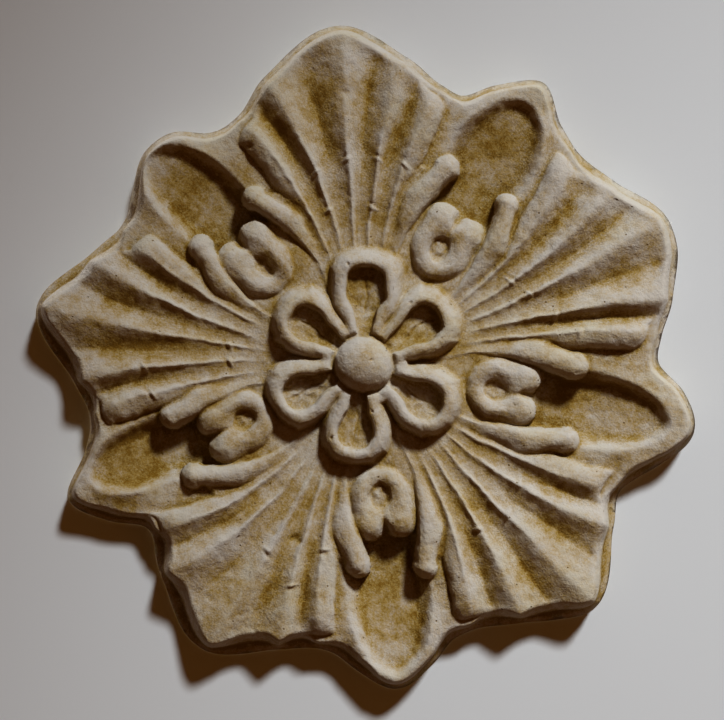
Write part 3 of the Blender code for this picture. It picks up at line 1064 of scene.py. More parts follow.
@dataclass(frozen=True)
class Lattice:
    """A polar lattice over the front, closed by a flat back.

    Attributes:
        columns: points round each ring.
        field_rings: rings from the middle to the edge band.
        edge_rings: rings over the edge band.
        core: radius within which the rings stay round.
    """

    columns: int = 1280
    field_rings: int = 205
    edge_rings: int = 26
    core: float = 42.0 * MM

    def places(self, carving: Carving) -> Places:
        """Places of the lattice points.

        Args:
            carving: the front, for its outline.

        Returns:
            The places, ring by ring from the innermost to the outline.
        """
        angle = np.linspace(0.0, FULL_TURN, self.columns, endpoint=False)
        reach = carving.outline(angle)
        inner = np.linspace(0.0, 1.0, self.field_rings + 1)[1:]
        base = inner[:, None] * (PLAQUE_R - EDGE_BAND)
        stretch = (reach[None, :] - EDGE_BAND - self.core) / (PLAQUE_R - EDGE_BAND - self.core)
        field = np.where(base > self.core, self.core + (base - self.core) * stretch, base)
        t = np.linspace(0.0, 1.0, self.edge_rings + 1)[1:]
        edge = reach[None, :] - EDGE_BAND * (1.0 - t[:, None]) ** 1.5
        r = np.concatenate([field, edge])
        turn = np.radians(angle)[None, :]
        return Places((r * np.cos(turn)).ravel(), (r * np.sin(turn)).ravel())

    def mesh(self, carving: Carving) -> bpy.types.Mesh:
        """The carved lattice as a closed mesh, stood upright with its front to -Y.

        Args:
            carving: the front.

        Returns:
            The mesh.
        """
        at = self.places(carving)
        height = carving.height(at)
        rings = self.field_rings + self.edge_rings
        height[(rings - 1) * self.columns:] = 0.0
        middle = carving.height(Places(np.zeros(1), np.zeros(1)))
        x = np.concatenate([at.x, [0.0, 0.0]])
        z = np.concatenate([at.y, [0.0, 0.0]])
        y = np.concatenate([-height, -middle, [0.0]])
        column = np.arange(self.columns)
        after = (column + 1) % self.columns
        ring = (np.arange(rings - 1) * self.columns)[:, None]
        quads = np.stack([ring + column, ring + self.columns + column,
                          ring + self.columns + after, ring + after], axis=-1).reshape(-1, 4)
        front = rings * self.columns
        core = np.stack([np.full(self.columns, front), column, after], axis=-1)
        last = (rings - 1) * self.columns
        back = np.stack([np.full(self.columns, front + 1), last + after, last + column], axis=-1)
        loops = np.concatenate([quads.ravel(), core.ravel(), back.ravel()])
        sizes = np.concatenate([np.full(len(quads), 4), np.full(2 * self.columns, 3)])
        mesh = bpy.data.meshes.new("lattice")
        mesh.vertices.add(len(x))
        mesh.vertices.foreach_set("co", np.stack([x, y, z], axis=1).ravel())
        mesh.loops.add(len(loops))
        mesh.loops.foreach_set("vertex_index", loops)
        mesh.polygons.add(len(sizes))
        mesh.polygons.foreach_set("loop_start", np.concatenate([[0], np.cumsum(sizes)[:-1]]))
        mesh.update(calc_edges=True)
        return mesh


@dataclass(frozen=True)
class HollowMap:
    """How hollow the front is, and how it slopes away from the key light, worked out on an even grid.

    Attributes:
        pitch: spacing of the grid.
        half: half its width.
        ground: height taken for the ground outside the plaque.
        lee_blur: radius that slopes are judged over for the painted shading.
    """

    pitch: float = 0.42 * MM
    half: float = 134.0 * MM
    ground: float = 3.0 * MM
    lee_blur: float = 0.5 * MM

    def blurred(self, height: Field, radius: float) -> Field:
        """Blurs heights.

        Args:
            height: heights on the grid.
            radius: how far the blur goes.

        Returns:
            The blurred heights.
        """
        waves_y = np.fft.fftfreq(height.shape[0], self.pitch)[:, None]
        waves_x = np.fft.rfftfreq(height.shape[1], self.pitch)[None, :]
        keep = np.exp(-2.0 * (np.pi * radius) ** 2 * (waves_x ** 2 + waves_y ** 2))
        return np.fft.irfft2(np.fft.rfft2(height) * keep, s=height.shape)

    def sampled(self, grid: Field, at: Places) -> Field:
        """Reads a grid between its points.

        Args:
            grid: the grid's values.
            at: the places.

        Returns:
            The value at each place.
        """
        u = (at.x + self.half) / self.pitch
        v = (at.y + self.half) / self.pitch
        i = np.clip(u.astype(int), 0, grid.shape[1] - 2)
        j = np.clip(v.astype(int), 0, grid.shape[0] - 2)
        s = u - i
        t = v - j
        low = grid[j, i] * (1.0 - s) + grid[j, i + 1] * s
        high = grid[j + 1, i] * (1.0 - s) + grid[j + 1, i + 1] * s
        return low * (1.0 - t) + high * t

    def heights(self, carving: Carving) -> Field:
        """Takes the front's heights.

        Args:
            carving: the front.

        Returns:
            Heights on the grid, with a low ground outside the plaque.
        """
        steps = int(2.0 * self.half / self.pitch) + 1
        line = -self.half + self.pitch * np.arange(steps)
        x, y = np.meshgrid(line, line)
        height = carving.height(Places(x, y))
        return np.where(height > 0.0, height, self.ground)

    def lee(self, height: Field, at: Places, way: tuple[float, float]) -> Field:
        """How steeply the front falls away from the key light, for painted shading.

        Args:
            height: heights on the grid.
            at: the places.
            way: the direction that the key light comes from.

        Returns:
            The slope at each place, positive on the sides that face away from the light, where shade is
            painted, and negative on those that face it.
        """
        rise_y, rise_x = np.gradient(self.blurred(height, self.lee_blur), self.pitch)
        return self.sampled(rise_x * way[0] + rise_y * way[1], at)

    def hollows(self, height: Field, at: Places, radii: tuple[float, ...]) -> list[Field]:
        """How far the front lies below its surroundings.

        Args:
            height: heights on the grid.
            at: the places.
            radii: how far round each place its surroundings go.

        Returns:
            One field for each radius, in metres, positive in hollows.
        """
        return [self.sampled(self.blurred(height, radius) - height, at) for radius in radii]


class Term:
    """A number or vector in a node tree, used in plain arithmetic."""

    def __init__(self, bench: Bench, socket: bpy.types.NodeSocket) -> None:
        """Wraps a socket of the bench's tree."""
        self.bench = bench
        self.socket = socket

    def _math(self, operation: str, first: Term | float, second: Term | float) -> Term:
        """A Math node's result."""
        made = self.bench.node("ShaderNodeMath", {"operation": operation}, {0: first, 1: second})
        return Term(self.bench, made.outputs[0])

    def __add__(self, other: Term | float) -> Term:
        """Sum."""
        return self._math("ADD", self, other)

    def __radd__(self, other: float) -> Term:
        """Sum, with the number first."""
        return self._math("ADD", other, self)

    def __sub__(self, other: Term | float) -> Term:
        """Difference."""
        return self._math("SUBTRACT", self, other)

    def __rsub__(self, other: float) -> Term:
        """Difference, with the number first."""
        return self._math("SUBTRACT", other, self)

    def __mul__(self, other: Term | float) -> Term:
        """Product."""
        return self._math("MULTIPLY", self, other)

    def __rmul__(self, other: float) -> Term:
        """Product, with the number first."""
        return self._math("MULTIPLY", other, self)

    def __pow__(self, other: float) -> Term:
        """Power."""
        return self._math("POWER", self, other)

    def above(self, other: Term | float) -> Term:
        """1 where this is greater, 0 elsewhere."""
        return self._math("GREATER_THAN", self, other)

    def most(self, other: Term | float) -> Term:
        """The greater of the two."""
        return self._math("MAXIMUM", self, other)

    def eased(self, low: float, high: float) -> Term:
        """Runs smoothly from 0 to 1.

        Args:
            low: the value that gives 0.
            high: the value that gives 1.

        Returns:
            The eased value.
        """
        settings = {"interpolation_type": "SMOOTHSTEP"}
        inputs = {"Value": self, "From Min": low, "From Max": high, "To Min": 0.0, "To Max": 1.0}
        return Term(self.bench, self.bench.node("ShaderNodeMapRange", settings, inputs).outputs[0])


class Bench:
    """A node tree being laid out."""

    def __init__(self, tree: bpy.types.NodeTree) -> None:
        """Starts on a tree."""
        self.tree = tree

    def node(self, kind: str, settings: dict | None = None, inputs: dict | None = None) -> bpy.types.Node:
        """Adds a node.

        Args:
            kind: the node's type.
            settings: its settings, which are set first; stops are a ramp's positions and colours.
            inputs: values or links of its sockets, by name or number.

        Returns:
            The node.
        """
        made = self.tree.nodes.new(kind)
        for name, value in (settings or {}).items():
            if name == "stops":
                self._set_stops(made.color_ramp, value)
            else:
                setattr(made, name, value)
        for name, value in (inputs or {}).items():
            if isinstance(value, Term):
                self.tree.links.new(value.socket, made.inputs[name])
            elif isinstance(value, bpy.types.NodeSocket):
                self.tree.links.new(value, made.inputs[name])
            else:
                made.inputs[name].default_value = value
        return made

    def _set_stops(self, ramp: bpy.types.ColorRamp, stops: tuple) -> None:
        """Sets a ramp's stops.

        Args:
            ramp: the ramp.
            stops: positions and colours.
        """
        while len(ramp.elements) < len(stops):
            ramp.elements.new(1.0)
        for element, (position, colour) in zip(ramp.elements, stops):
            element.position = position
            element.color = colour

    def term(self, kind: str, output: str | int, settings: dict | None = None,
             inputs: dict | None = None) -> Term:
        """Adds a node and gives one of its outputs.

        Args:
            kind: the node's type.
            output: name or number of the output.
            settings: its settings.
            inputs: values or links of its sockets.

        Returns:
            The output.
        """
        return Term(self, self.node(kind, settings, inputs).outputs[output])

    def noise(self, where: Term, size: float, detail: float = 3.0, rough: float = 0.5,
              bend: float = 0.0) -> Term:
        """Noise with blotches of a size.

        Args:
            where: the place to read it at.
            size: size of the blotches.
            detail: how many finer layers it has.
            rough: how strong they are.
            bend: how bent the blotches are.

        Returns:
            Values about 0.5.
        """
        inputs = {"Vector": where, "Scale": 1.0 / size, "Detail": detail, "Roughness": rough,
                  "Distortion": bend}
        return self.term("ShaderNodeTexNoise", 0, {"noise_dimensions": "3D"}, inputs)

    def mixed(self, share: Term | float, first: Term | tuple, second: Term | tuple) -> Term:
        """A blend of two colours.

        Args:
            share: share of the second colour.
            first: the first colour.
            second: the second colour.

        Returns:
            The blend.
        """
        settings = {"data_type": "RGBA"}
        return self.term("ShaderNodeMix", 2, settings, {0: share, 6: first, 7: second})


def fresh_bench(owner: bpy.types.Material | bpy.types.World) -> Bench:
    """Starts on a material or on the surroundings.

    Args:
        owner: what the node tree belongs to.

    Returns:
        A bench on its emptied tree.
    """
    owner.use_nodes = True
    owner.node_tree.nodes.clear()
    return Bench(owner.node_tree)


def put_up(name: str, data: bpy.types.ID) -> bpy.types.Object:
    """Puts a mesh, a light or a camera into the scene.

    Args:
        name: the object's name.
        data: what it shows.

    Returns:
        The object.
    """
    made = bpy.data.objects.new(name, data)
    bpy.context.scene.collection.objects.link(made)
    return made


class Layer(Enum):
    """What the stone's surface carries for its finish, by the name of the attribute."""

    CREVICE = "crevice"
    HOLLOW = "hollow"
    BASIN = "basin"
    # Painted shade on the side wall: darker on the side facing away from the key light, lighter on the lit
    # side
    SIDE = "side"
    # Painted shading: darker on slopes that face away from the key light, lighter on those that face it
    LEE = "lee"
    FRONT = "front"
    # Patina stains, and a few painted shadows in deep holes
    STAIN = "stain_and_shadow"
    FLOW = "flow"


@dataclass(frozen=True)
class StainAndShadow:
    """A place where more of the patina stayed or where it was wiped off, or a painted shadow in a deep hole.

    Attributes:
        pixel: its place in the picture.
        radius: its half width.
        strength: above 0 for more patina or a painted shadow, below 0 for less patina.
    """

    pixel: tuple[float, float]
    radius: float
    strength: float


@dataclass(frozen=True)
class Weathering:
    """Grain, ripples and pits that casting and years left on the stone.

    Attributes:
        grain_height: height of the sugary grain.
        grain_size: its size.
        ripple_height: height of the slow ripples.
        ripple_size: their size.
        pit_depth: depth of the pits.
        pit_size: spacing of the cells that may hold a pit.
        pit_share: share of the cells that hold one.
        seed: picks the pattern.
    """

    grain_height: float = 0.30 * MM
    grain_size: float = 1.1 * MM
    ripple_height: float = 0.40 * MM
    ripple_size: float = 4.5 * MM
    pit_depth: float = 0.7 * MM
    pit_size: float = 5.0 * MM
    pit_share: float = 0.10
    seed: float = 7.0

    def tree(self, finish: bpy.types.Material) -> bpy.types.NodeTree:
        """Builds the tree.

        Args:
            finish: the stone's material.

        Returns:
            The tree.
        """
        tree = bpy.data.node_groups.new("weather the stone", "GeometryNodeTree")
        face = tree.interface
        face.new_socket(name="Geometry", in_out="INPUT", socket_type="NodeSocketGeometry")
        for name in self.sizes():
            face.new_socket(name=name, in_out="INPUT", socket_type="NodeSocketFloat")
        face.new_socket(name="Geometry", in_out="OUTPUT", socket_type="NodeSocketGeometry")
        bench = Bench(tree)
        given = bench.node("NodeGroupInput")
        size = {name: Term(bench, given.outputs[name]) for name in self.sizes()}
        where = bench.term("GeometryNodeInputPosition", 0)
        shift = bench.term("ShaderNodeCombineXYZ", 0, None, {2: size["Seed"]})
        place = bench.term("ShaderNodeVectorMath", 0, {"operation": "ADD"}, {0: where, 1: shift})
        grain = self._noise(bench, place, size["Grain size"])
        ripple = self._noise(bench, place, size["Ripple size"])
        cell = bench.node("ShaderNodeTexVoronoi", {"feature": "F1"},
                          {"Vector": place, "Scale": self._one_over(size["Pit size"])})
        chance = bench.term("FunctionNodeSeparateColor", 0, None, {0: cell.outputs["Color"]})
        picked = size["Pit share"].above(chance)
        near = 1.0 - Term(bench, cell.outputs["Distance"]) * 7.0
        pit = near.most(0.0) ** 0.6 * picked * size["Pit depth"]
        front = self._layer(bench, Layer.FRONT)
        lift = (grain - 0.5) * size["Grain height"] + (ripple - 0.5) * size["Ripple height"] - pit
        normal = bench.term("GeometryNodeInputNormal", 0)
        offset = bench.term("ShaderNodeVectorMath", 0, {"operation": "SCALE"},
                            {0: normal, "Scale": lift * front})
        moved = bench.node("GeometryNodeSetPosition", None,
                           {"Geometry": given.outputs["Geometry"], "Offset": offset})
        whole = bench.node("GeometryNodeRealizeInstances", None, {0: moved.outputs[0]})
        dressed = bench.node("GeometryNodeSetMaterial", None,
                             {"Geometry": whole.outputs[0], "Material": finish})
        bench.node("NodeGroupOutput", None, {0: dressed.outputs[0]})
        return tree

    def sizes(self) -> dict[str, float]:
        """The tree's inputs and their values."""
        return {name.replace("_", " ").capitalize(): value for name, value in asdict(self).items()}

    def _one_over(self, size: Term) -> Term:
        """Scale of a texture whose blotches have this size."""
        return size ** -1.0

    def _noise(self, bench: Bench, where: Term, size: Term) -> Term:
        """Noise with blotches of a size that the tree is given."""
        inputs = {"Vector": where, "Scale": self._one_over(size), "Detail": 3.0, "Roughness": 0.6}
        return bench.term("ShaderNodeTexNoise", 0, {"noise_dimensions": "3D"}, inputs)

    def _layer(self, bench: Bench, layer: Layer) -> Term:
        """A layer of the surface as the tree reads it."""
        return bench.term("GeometryNodeInputNamedAttribute", 0, {"data_type": "FLOAT"},
                          {"Name": layer.value})

    def apply(self, piece: bpy.types.Object, finish: bpy.types.Material) -> None:
        """Weathers a piece and makes the result its plain mesh.

        Args:
            piece: the piece.
            finish: the stone's material.
        """
        tree = self.tree(finish)
        modifier = piece.modifiers.new("weather", "NODES")
        modifier.node_group = tree
        sockets = {item.name: item.identifier for item in tree.interface.items_tree
                   if item.in_out == "INPUT"}
        for name, value in self.sizes().items():
            modifier[sockets[name]] = value
        work_in(piece)


@dataclass(frozen=True)
class PatinaAndShadeStone:
    """Pale cast stone with an ochre patina wiped off its heights, and painted shade on the slopes that face
    away from the key light.

    Attributes:
        chalk: colour of the rubbed crests.
        cream: colour of the clean stone.
        tan: colour of thin patina.
        ochre: colour of thick patina.
        umber: colour of the deepest hollows and of the darkest painted shade.
        olive: tint of the greener places.
        stops: where the five colours stand on the scale of patina.
        roughness: how matt it is.
        gloss: strength of its reflections.
        dust: how dusty its matt side is.
        relief: depth of the fine surface.
        bare: patina on an even, open place.
        shares: how much each layer adds to the tone: patina from the crevice, hollow, basin and stain
            layers, a few painted shadows from the stain layer, and painted shade from the side wall and
            slope layers.
        speck_size: spacing of the cells that may hold a speck.
        speck_share: share of the cells that hold one.
    """

    chalk: tuple[float, ...] = (0.58, 0.53, 0.47, 1.0)
    cream: tuple[float, ...] = (0.55, 0.475, 0.375, 1.0)
    tan: tuple[float, ...] = (0.49, 0.385, 0.242, 1.0)
    ochre: tuple[float, ...] = (0.41, 0.285, 0.088, 1.0)
    umber: tuple[float, ...] = (0.28, 0.160, 0.020, 1.0)
    olive: tuple[float, ...] = (0.98, 0.93, 0.62, 1.0)
    stops: tuple[float, ...] = (0.0, 0.27, 0.50, 0.75, 1.0)
    roughness: float = 0.86
    gloss: float = 0.22
    dust: float = 0.6
    relief: float = 0.95 * MM
    bare: float = 0.42
    # The side wall and slope layers paint shade away from the key light; the others add patina, stains and a
    # few painted shadows
    shares: tuple[tuple[Layer, float], ...] = (
        (Layer.CREVICE, 0.17), (Layer.HOLLOW, 0.10), (Layer.BASIN, 0.15),
        (Layer.SIDE, 0.14), (Layer.STAIN, 0.26), (Layer.LEE, 0.28))
    speck_size: float = 2.6 * MM
    speck_share: float = 0.10

    def material(self) -> bpy.types.Material:
        """Builds the material.

        Returns:
            The material.
        """
        material = bpy.data.materials.new("wiped stone")
        bench = fresh_bench(material)
        where = bench.term("ShaderNodeTexCoord", "Object")
        tone = self._patina(bench, where)
        colours = (self.chalk, self.cream, self.tan, self.ochre, self.umber)
        stops = tuple(zip(self.stops, colours))
        colour = bench.term("ShaderNodeValToRGB", 0, {"stops": stops}, {0: tone})
        warm = bench.noise(where, 26.0 * MM, 3.0).eased(0.42, 0.72)
        olive = bench.mixed(warm * 0.30, colour, self._tinted(bench, colour, self.olive))
        speck = self._specks(bench, where)
        stone = bench.mixed(speck, olive, self.umber)
        height = self._surface(bench, where, speck)
        normal = bench.term("ShaderNodeBump", 0, None,
                            {"Strength": 1.0, "Distance": self.relief, "Height": height})
        rough = bench.noise(where, 5.0 * MM, 2.0) * 0.12 + (self.roughness - 0.06)
        shader = bench.node("ShaderNodeBsdfPrincipled", None,
                            {"Base Color": stone, "Roughness": rough, "Normal": normal})
        shader.inputs["Specular IOR Level"].default_value = self.gloss
        shader.inputs["Diffuse Roughness"].default_value = self.dust
        bench.node("ShaderNodeOutputMaterial", None, {"Surface": shader.outputs[0]})
        return material

    def _layer(self, bench: Bench, layer: Layer) -> Term:
        """A layer of the surface as the material reads it."""
        return bench.term("ShaderNodeAttribute", "Fac",
                          {"attribute_name": layer.value, "attribute_type": "GEOMETRY"})

    def _tinted(self, bench: Bench, colour: Term, tint: tuple[float, ...]) -> Term:
        """A colour seen through a tint."""
        return bench.term("ShaderNodeMix", 2, {"data_type": "RGBA", "blend_type": "MULTIPLY"},
                          {0: 1.0, 6: colour, 7: tint})

    def _patina(self, bench: Bench, where: Term) -> Term:
        """How much patina, and how much painted shade, lies at each place.

        Args:
            bench: the material's tree.
            where: the place.

        Returns:
            0 on rubbed stone, 1 in the darkest hollows and the darkest painted shade.
        """
        flow = bench.term("ShaderNodeAttribute", "Vector",
                          {"attribute_name": Layer.FLOW.value, "attribute_type": "GEOMETRY"})
        streak = bench.noise(flow, 1.6 * MM, 4.0, 0.6).eased(0.34, 0.66) - 0.5
        smear = bench.noise(where, 15.0 * MM, 4.0, 0.55, 0.4).eased(0.32, 0.68) - 0.5
        mottle = bench.noise(where, 4.5 * MM, 4.0, 0.6, 0.3).eased(0.32, 0.68) - 0.5
        grain = bench.noise(where, 0.8 * MM, 2.0, 0.7).eased(0.30, 0.70) - 0.5
        tone = self.bare
        for layer, share in self.shares:
            tone = tone + self._layer(bench, layer) * share
        tone = tone + smear * 0.36 + mottle * 0.26 + streak * 0.12
        return tone + grain * (0.26 + self._layer(bench, Layer.HOLLOW).most(0.0) * 0.10)

    def _specks(self, bench: Bench, where: Term) -> Term:
        """Dark pinholes and specks.

        Args:
            bench: the material's tree.
            where: the place.

        Returns:
            Share of the dark colour.
        """
        cell = bench.node("ShaderNodeTexVoronoi", {"feature": "F1"},
                          {"Vector": where, "Scale": 1.0 / self.speck_size})
        chance = bench.term("ShaderNodeSeparateColor", 0, None, {0: cell.outputs["Color"]})
        close = 1.0 - Term(bench, cell.outputs["Distance"]).eased(0.07, 0.16)
        return close * (self.speck_share - chance).above(0.0) * 0.75

    def _surface(self, bench: Bench, where: Term, speck: Term) -> Term:
        """Height of the fine surface.

        Args:
            bench: the material's tree.
            where: the place.
            speck: where the pinholes are.

        Returns:
            Height as a share of the bump's depth.
        """
        hollow = self._layer(bench, Layer.HOLLOW)
        sugar = bench.noise(where, 0.75 * MM, 3.0, 0.7)
        skin = bench.noise(where, 2.6 * MM, 4.0, 0.6)
        strength = 0.40 + hollow.most(0.0) * 0.35
        return sugar * strength + skin * 0.7 - speck * 0.8


@dataclass(frozen=True)
class Plaque:
    """The plaque: one piece of stone.

    Attributes:
        carving: its front.
        lattice: the lattice it is carved on.
        weathering: what years left on it.
        finish: its finish.
        stains: places with more or less patina, and a few painted shadows in deep holes.
        triangles: how many triangles the finished piece has.
        chart: the grid that hollows are worked out on.
        radii: how far round a place crevices, hollows and basins are judged.
        flow_ring: radius of the ring that lines of tooling are laid out on.
        light_way: the direction that the key light comes from, which the painted shading is judged against.
    """

    carving: Carving
    lattice: Lattice = Lattice()
    weathering: Weathering = Weathering()
    finish: PatinaAndShadeStone = PatinaAndShadeStone()
    stains: tuple[StainAndShadow, ...] = ()
    triangles: int = 190_000
    chart: HollowMap = HollowMap()
    radii: tuple[float, ...] = (0.9 * MM, 2.6 * MM, 7.5 * MM)
    flow_ring: float = 70.0 * MM
    light_way: tuple[float, float] = LIT_SIDE

    def build(self) -> bpy.types.Object:
        """Carves the stone.

        Returns:
            The piece.
        """
        piece = put_up("plaque_stone", self.lattice.mesh(self.carving))
        count = sum(len(face.vertices) - 2 for face in piece.data.polygons)
        thin = piece.modifiers.new("facets", "DECIMATE")
        thin.ratio = min(1.0, self.triangles / count)
        thin.use_collapse_triangulate = True
        work_in(piece)
        return piece

    def dress(self, piece: bpy.types.Object) -> None:
        """Lays the layers that the finish reads, weathers the stone and ties it to the frame.

        Args:
            piece: the piece.
        """
        self._lay_layers(piece.data)
        self.weathering.apply(piece, self.finish.material())
        self._shade(piece.data)
        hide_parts("plaque")
        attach(piece, "root")

    def _shade(self, mesh: bpy.types.Mesh) -> None:
        """Shades the carving smooth and the back flat, with a crisp edge between them.

        Args:
            mesh: the piece's mesh.
        """
        centres = np.zeros(len(mesh.polygons) * 3)
        mesh.polygons.foreach_get("center", centres)
        mesh.polygons.foreach_set("use_smooth", centres[1::3] < -0.01 * MM)
        mesh.update()

    def _lay_layers(self, mesh: bpy.types.Mesh) -> None:
        """Works out each layer at the mesh's points.

        Args:
            mesh: the piece's mesh.
        """
        spots = np.zeros(len(mesh.vertices) * 3)
        mesh.vertices.foreach_get("co", spots)
        x, y, z = spots.reshape(-1, 3).T
        at = Places(x, z)
        height = self.chart.heights(self.carving)
        crevice, hollow, basin = self.chart.hollows(height, at, self.radii)
        # Painted shading: how steeply each place slopes away from the key light
        lee = self.chart.lee(height, at, self.light_way)
        to_edge = self.carving.outline(at.angle) - at.r
        inside = ease(0.8 * MM, 4.0 * MM, to_edge)
        outer = inside * (0.30 + 0.70 * ease(44.0 * MM, 74.0 * MM, at.r))
        # Painted shade: the side wall darkens on the side facing away from the key light and lightens on the
        # lit side
        away_from_light = -(at.x * self.light_way[0] + at.y * self.light_way[1]) / np.maximum(at.r, MM)
        side = ease(11.0 * MM, 6.0 * MM, -y) * ease(9.0 * MM, 3.0 * MM, to_edge)
        side = side * (2.0 * ease(-0.6, 0.5, away_from_light) - 1.0)
        # Patina stains, and painted shadows in a few deep holes
        stain_and_shadow = np.zeros_like(x)
        for mark in self.stains:
            stain_and_shadow = stain_and_shadow + mark.strength * bead(at.near(mark.pixel), mark.radius)
        layers = {
            Layer.CREVICE: np.clip(crevice / (0.35 * MM), -1.0, 1.0) * inside,
            Layer.HOLLOW: np.clip(hollow / (1.3 * MM), -0.6, 1.0) * outer,
            Layer.BASIN: np.clip(basin / (3.0 * MM), -0.5, 1.0) * outer,
            # The side wall and slope layers are painted shade; the stain layer also holds a few painted
            # shadows
            Layer.SIDE: side,
            Layer.LEE: np.clip(lee, -0.35, 0.8) * inside,
            Layer.FRONT: ease(-0.2 * MM, -1.5 * MM, y),
            Layer.STAIN: stain_and_shadow,
        }
        for layer, values in layers.items():
            made = mesh.attributes.new(layer.value, "FLOAT", "POINT")
            made.data.foreach_set("value", values.astype(np.float32))
        turn = np.radians(self.carving.flow(at))
        ring = self.flow_ring
        lines = np.stack([ring * np.cos(turn), ring * np.sin(turn), 0.06 * at.r - 0.3 * y], axis=1)
        made = mesh.attributes.new(Layer.FLOW.value, "FLOAT_VECTOR", "POINT")
        made.data.foreach_set("vector", lines.astype(np.float32).ravel())


def work_in(piece: bpy.types.Object) -> None:
    """Makes what an object's modifiers give its plain mesh.

    Args:
        piece: the object.
    """
    bpy.context.view_layer.update()
    worked = piece.evaluated_get(bpy.context.evaluated_depsgraph_get())
    mesh = bpy.data.meshes.new_from_object(worked)
    piece.modifiers.clear()
    piece.data = mesh
    mesh.name = piece.name


@dataclass(frozen=True)
class Studio:
    """The pale wall, the lights and the camera.

    Attributes:
        distance: how far the camera is from the front.
        front_y: where the plaque's front lies.
        wall_gap: gap behind the plaque's back.
        wall_half: half width of the wall.
        wall_colour: colour of the wall.
        key_power: power of the key light.
        key_colour: its colour.
        key_way: the way to it.
        key_far: how far away it is.
        key_aim: what it is aimed at.
        key_size: its radius.
        key_spread: angle of its cone.
        fill_power: power of the warm fill.
        fill_colour: its colour.
        back_power: power of the light for the back.
        room_colour: colour of the light from the surroundings.
        room_strength: its strength.
        room_seen: what the surroundings look like to the camera.
        contrast: how far the picture's darks are opened; below 1 deepens them.
    """

    distance: float = 1.4
    front_y: float = -8.0 * MM
    wall_gap: float = 0.4 * MM
    wall_half: float = 1.2
    wall_colour: tuple[float, ...] = (0.66, 0.66, 0.66, 1.0)
    key_power: float = 358.0
    key_colour: tuple[float, ...] = (0.86, 0.943, 1.0)
    key_way: tuple[float, ...] = (0.318, -0.707, 0.629)
    key_far: float = 2.6
    key_aim: tuple[float, ...] = (0.15, 0.0, -0.17)
    key_size: float = 0.19
    key_spread: float = 24.0
    fill_power: float = 1.3
    fill_colour: tuple[float, ...] = (1.0, 0.46, 0.14)
    back_power: float = 22.0
    room_colour: tuple[float, ...] = (1.0, 0.42, 0.07, 1.0)
    room_strength: float = 0.105
    room_seen: tuple[float, ...] = (0.40, 0.40, 0.40, 1.0)
    contrast: float = 0.76

    def build(self) -> None:
        """Sets up the wall, the lights, the surroundings and the camera."""
        self._wall()
        self._lights()
        self._surroundings()
        self._camera()
        view = bpy.context.scene.view_settings
        view.view_transform = "Standard"
        view.gamma = self.contrast

    def _wall(self) -> None:
        """A plain wall that shows from its front alone and lets light through from behind."""
        half = self.wall_half
        mesh = bpy.data.meshes.new("wall")
        y = self.wall_gap
        corners = [(-half, y, -half), (half, y, -half), (half, y, half), (-half, y, half)]
        mesh.from_pydata(corners, [], [(0, 1, 2, 3)])
        wall = put_up("wall", mesh)
        wall.visible_shadow = False
        material = bpy.data.materials.new("pale wall")
        bench = fresh_bench(material)
        shader = bench.node("ShaderNodeBsdfPrincipled")
        shader.inputs["Base Color"].default_value = self.wall_colour
        shader.inputs["Roughness"].default_value = 0.9
        shader.inputs["Specular IOR Level"].default_value = 0.1
        clear = bench.node("ShaderNodeBsdfTransparent")
        behind = bench.term("ShaderNodeNewGeometry", "Backfacing")
        mixed = bench.node("ShaderNodeMixShader", None,
                           {0: behind, 1: shader.outputs[0], 2: clear.outputs[0]})
        bench.node("ShaderNodeOutputMaterial", None, {"Surface": mixed.outputs[0]})
        mesh.materials.append(material)

    def _light(self, name: str, kind: str, place: tuple[float, ...], target: tuple[float, ...],
               power: float, colour: tuple[float, ...]) -> bpy.types.Light:
        """Adds a light aimed at a target.

        Args:
            name: its name.
            kind: its type.
            place: where it stands.
            target: what it is aimed at.
            power: its power in watts.
            colour: its colour.

        Returns:
            The light's data.
        """
        data = bpy.data.lights.new(name, kind)
        data.energy = power
        data.color = colour
        lamp = put_up(name, data)
        lamp.location = place
        lamp.rotation_euler = (Vector(target) - Vector(place)).to_track_quat("-Z", "Y").to_euler()
        return data

    def _lights(self) -> None:
        """A key light from the upper right, a faint fill and a light for the back."""
        middle = (0.0, 0.0, 0.0)
        place = tuple(Vector(self.key_way).normalized() * self.key_far)
        key = self._light("key", "SPOT", place, self.key_aim, self.key_power, self.key_colour)
        key.shadow_soft_size = self.key_size
        key.spot_size = np.radians(self.key_spread)
        key.spot_blend = 1.0
        fill = self._light("fill", "AREA", (0.9, -1.4, -0.5), middle, self.fill_power, self.fill_colour)
        fill.size = 1.2
        back = self._light("back", "AREA", (-0.9, 1.2, 0.7), middle, self.back_power, (1.0, 0.98, 0.95))
        back.size = 0.9

    def _surroundings(self) -> None:
        """Dim warm surroundings that look pale to the camera."""
        world = bpy.data.worlds.new("surroundings")
        bpy.context.scene.world = world
        bench = fresh_bench(world)
        dim = bench.node("ShaderNodeBackground", None,
                         {"Color": self.room_colour, "Strength": self.room_strength})
        pale = bench.node("ShaderNodeBackground", None,
                          {"Color": self.room_seen, "Strength": 1.0})
        seen = bench.term("ShaderNodeLightPath", "Is Camera Ray")
        mixed = bench.node("ShaderNodeMixShader", None,
                           {0: seen, 1: dim.outputs[0], 2: pale.outputs[0]})
        bench.node("ShaderNodeOutputWorld", None, {"Surface": mixed.outputs[0]})

    def _camera(self) -> None:
        """A camera straight in front, framed as the picture is."""
        data = bpy.data.cameras.new("camera")
        data.sensor_width = 36.0
        data.lens = data.sensor_width * self.distance / (IMAGE_W * PIXEL)
        camera = put_up("camera", data)
        x = (0.5 * IMAGE_W - BALL_PIXEL[0]) * PIXEL
        z = (BALL_PIXEL[1] - 0.5 * IMAGE_H) * PIXEL
        camera.location = (x, self.front_y - self.distance, z)
        camera.rotation_euler = (np.radians(90.0), 0.0, 0.0)
        bpy.context.scene.camera = camera


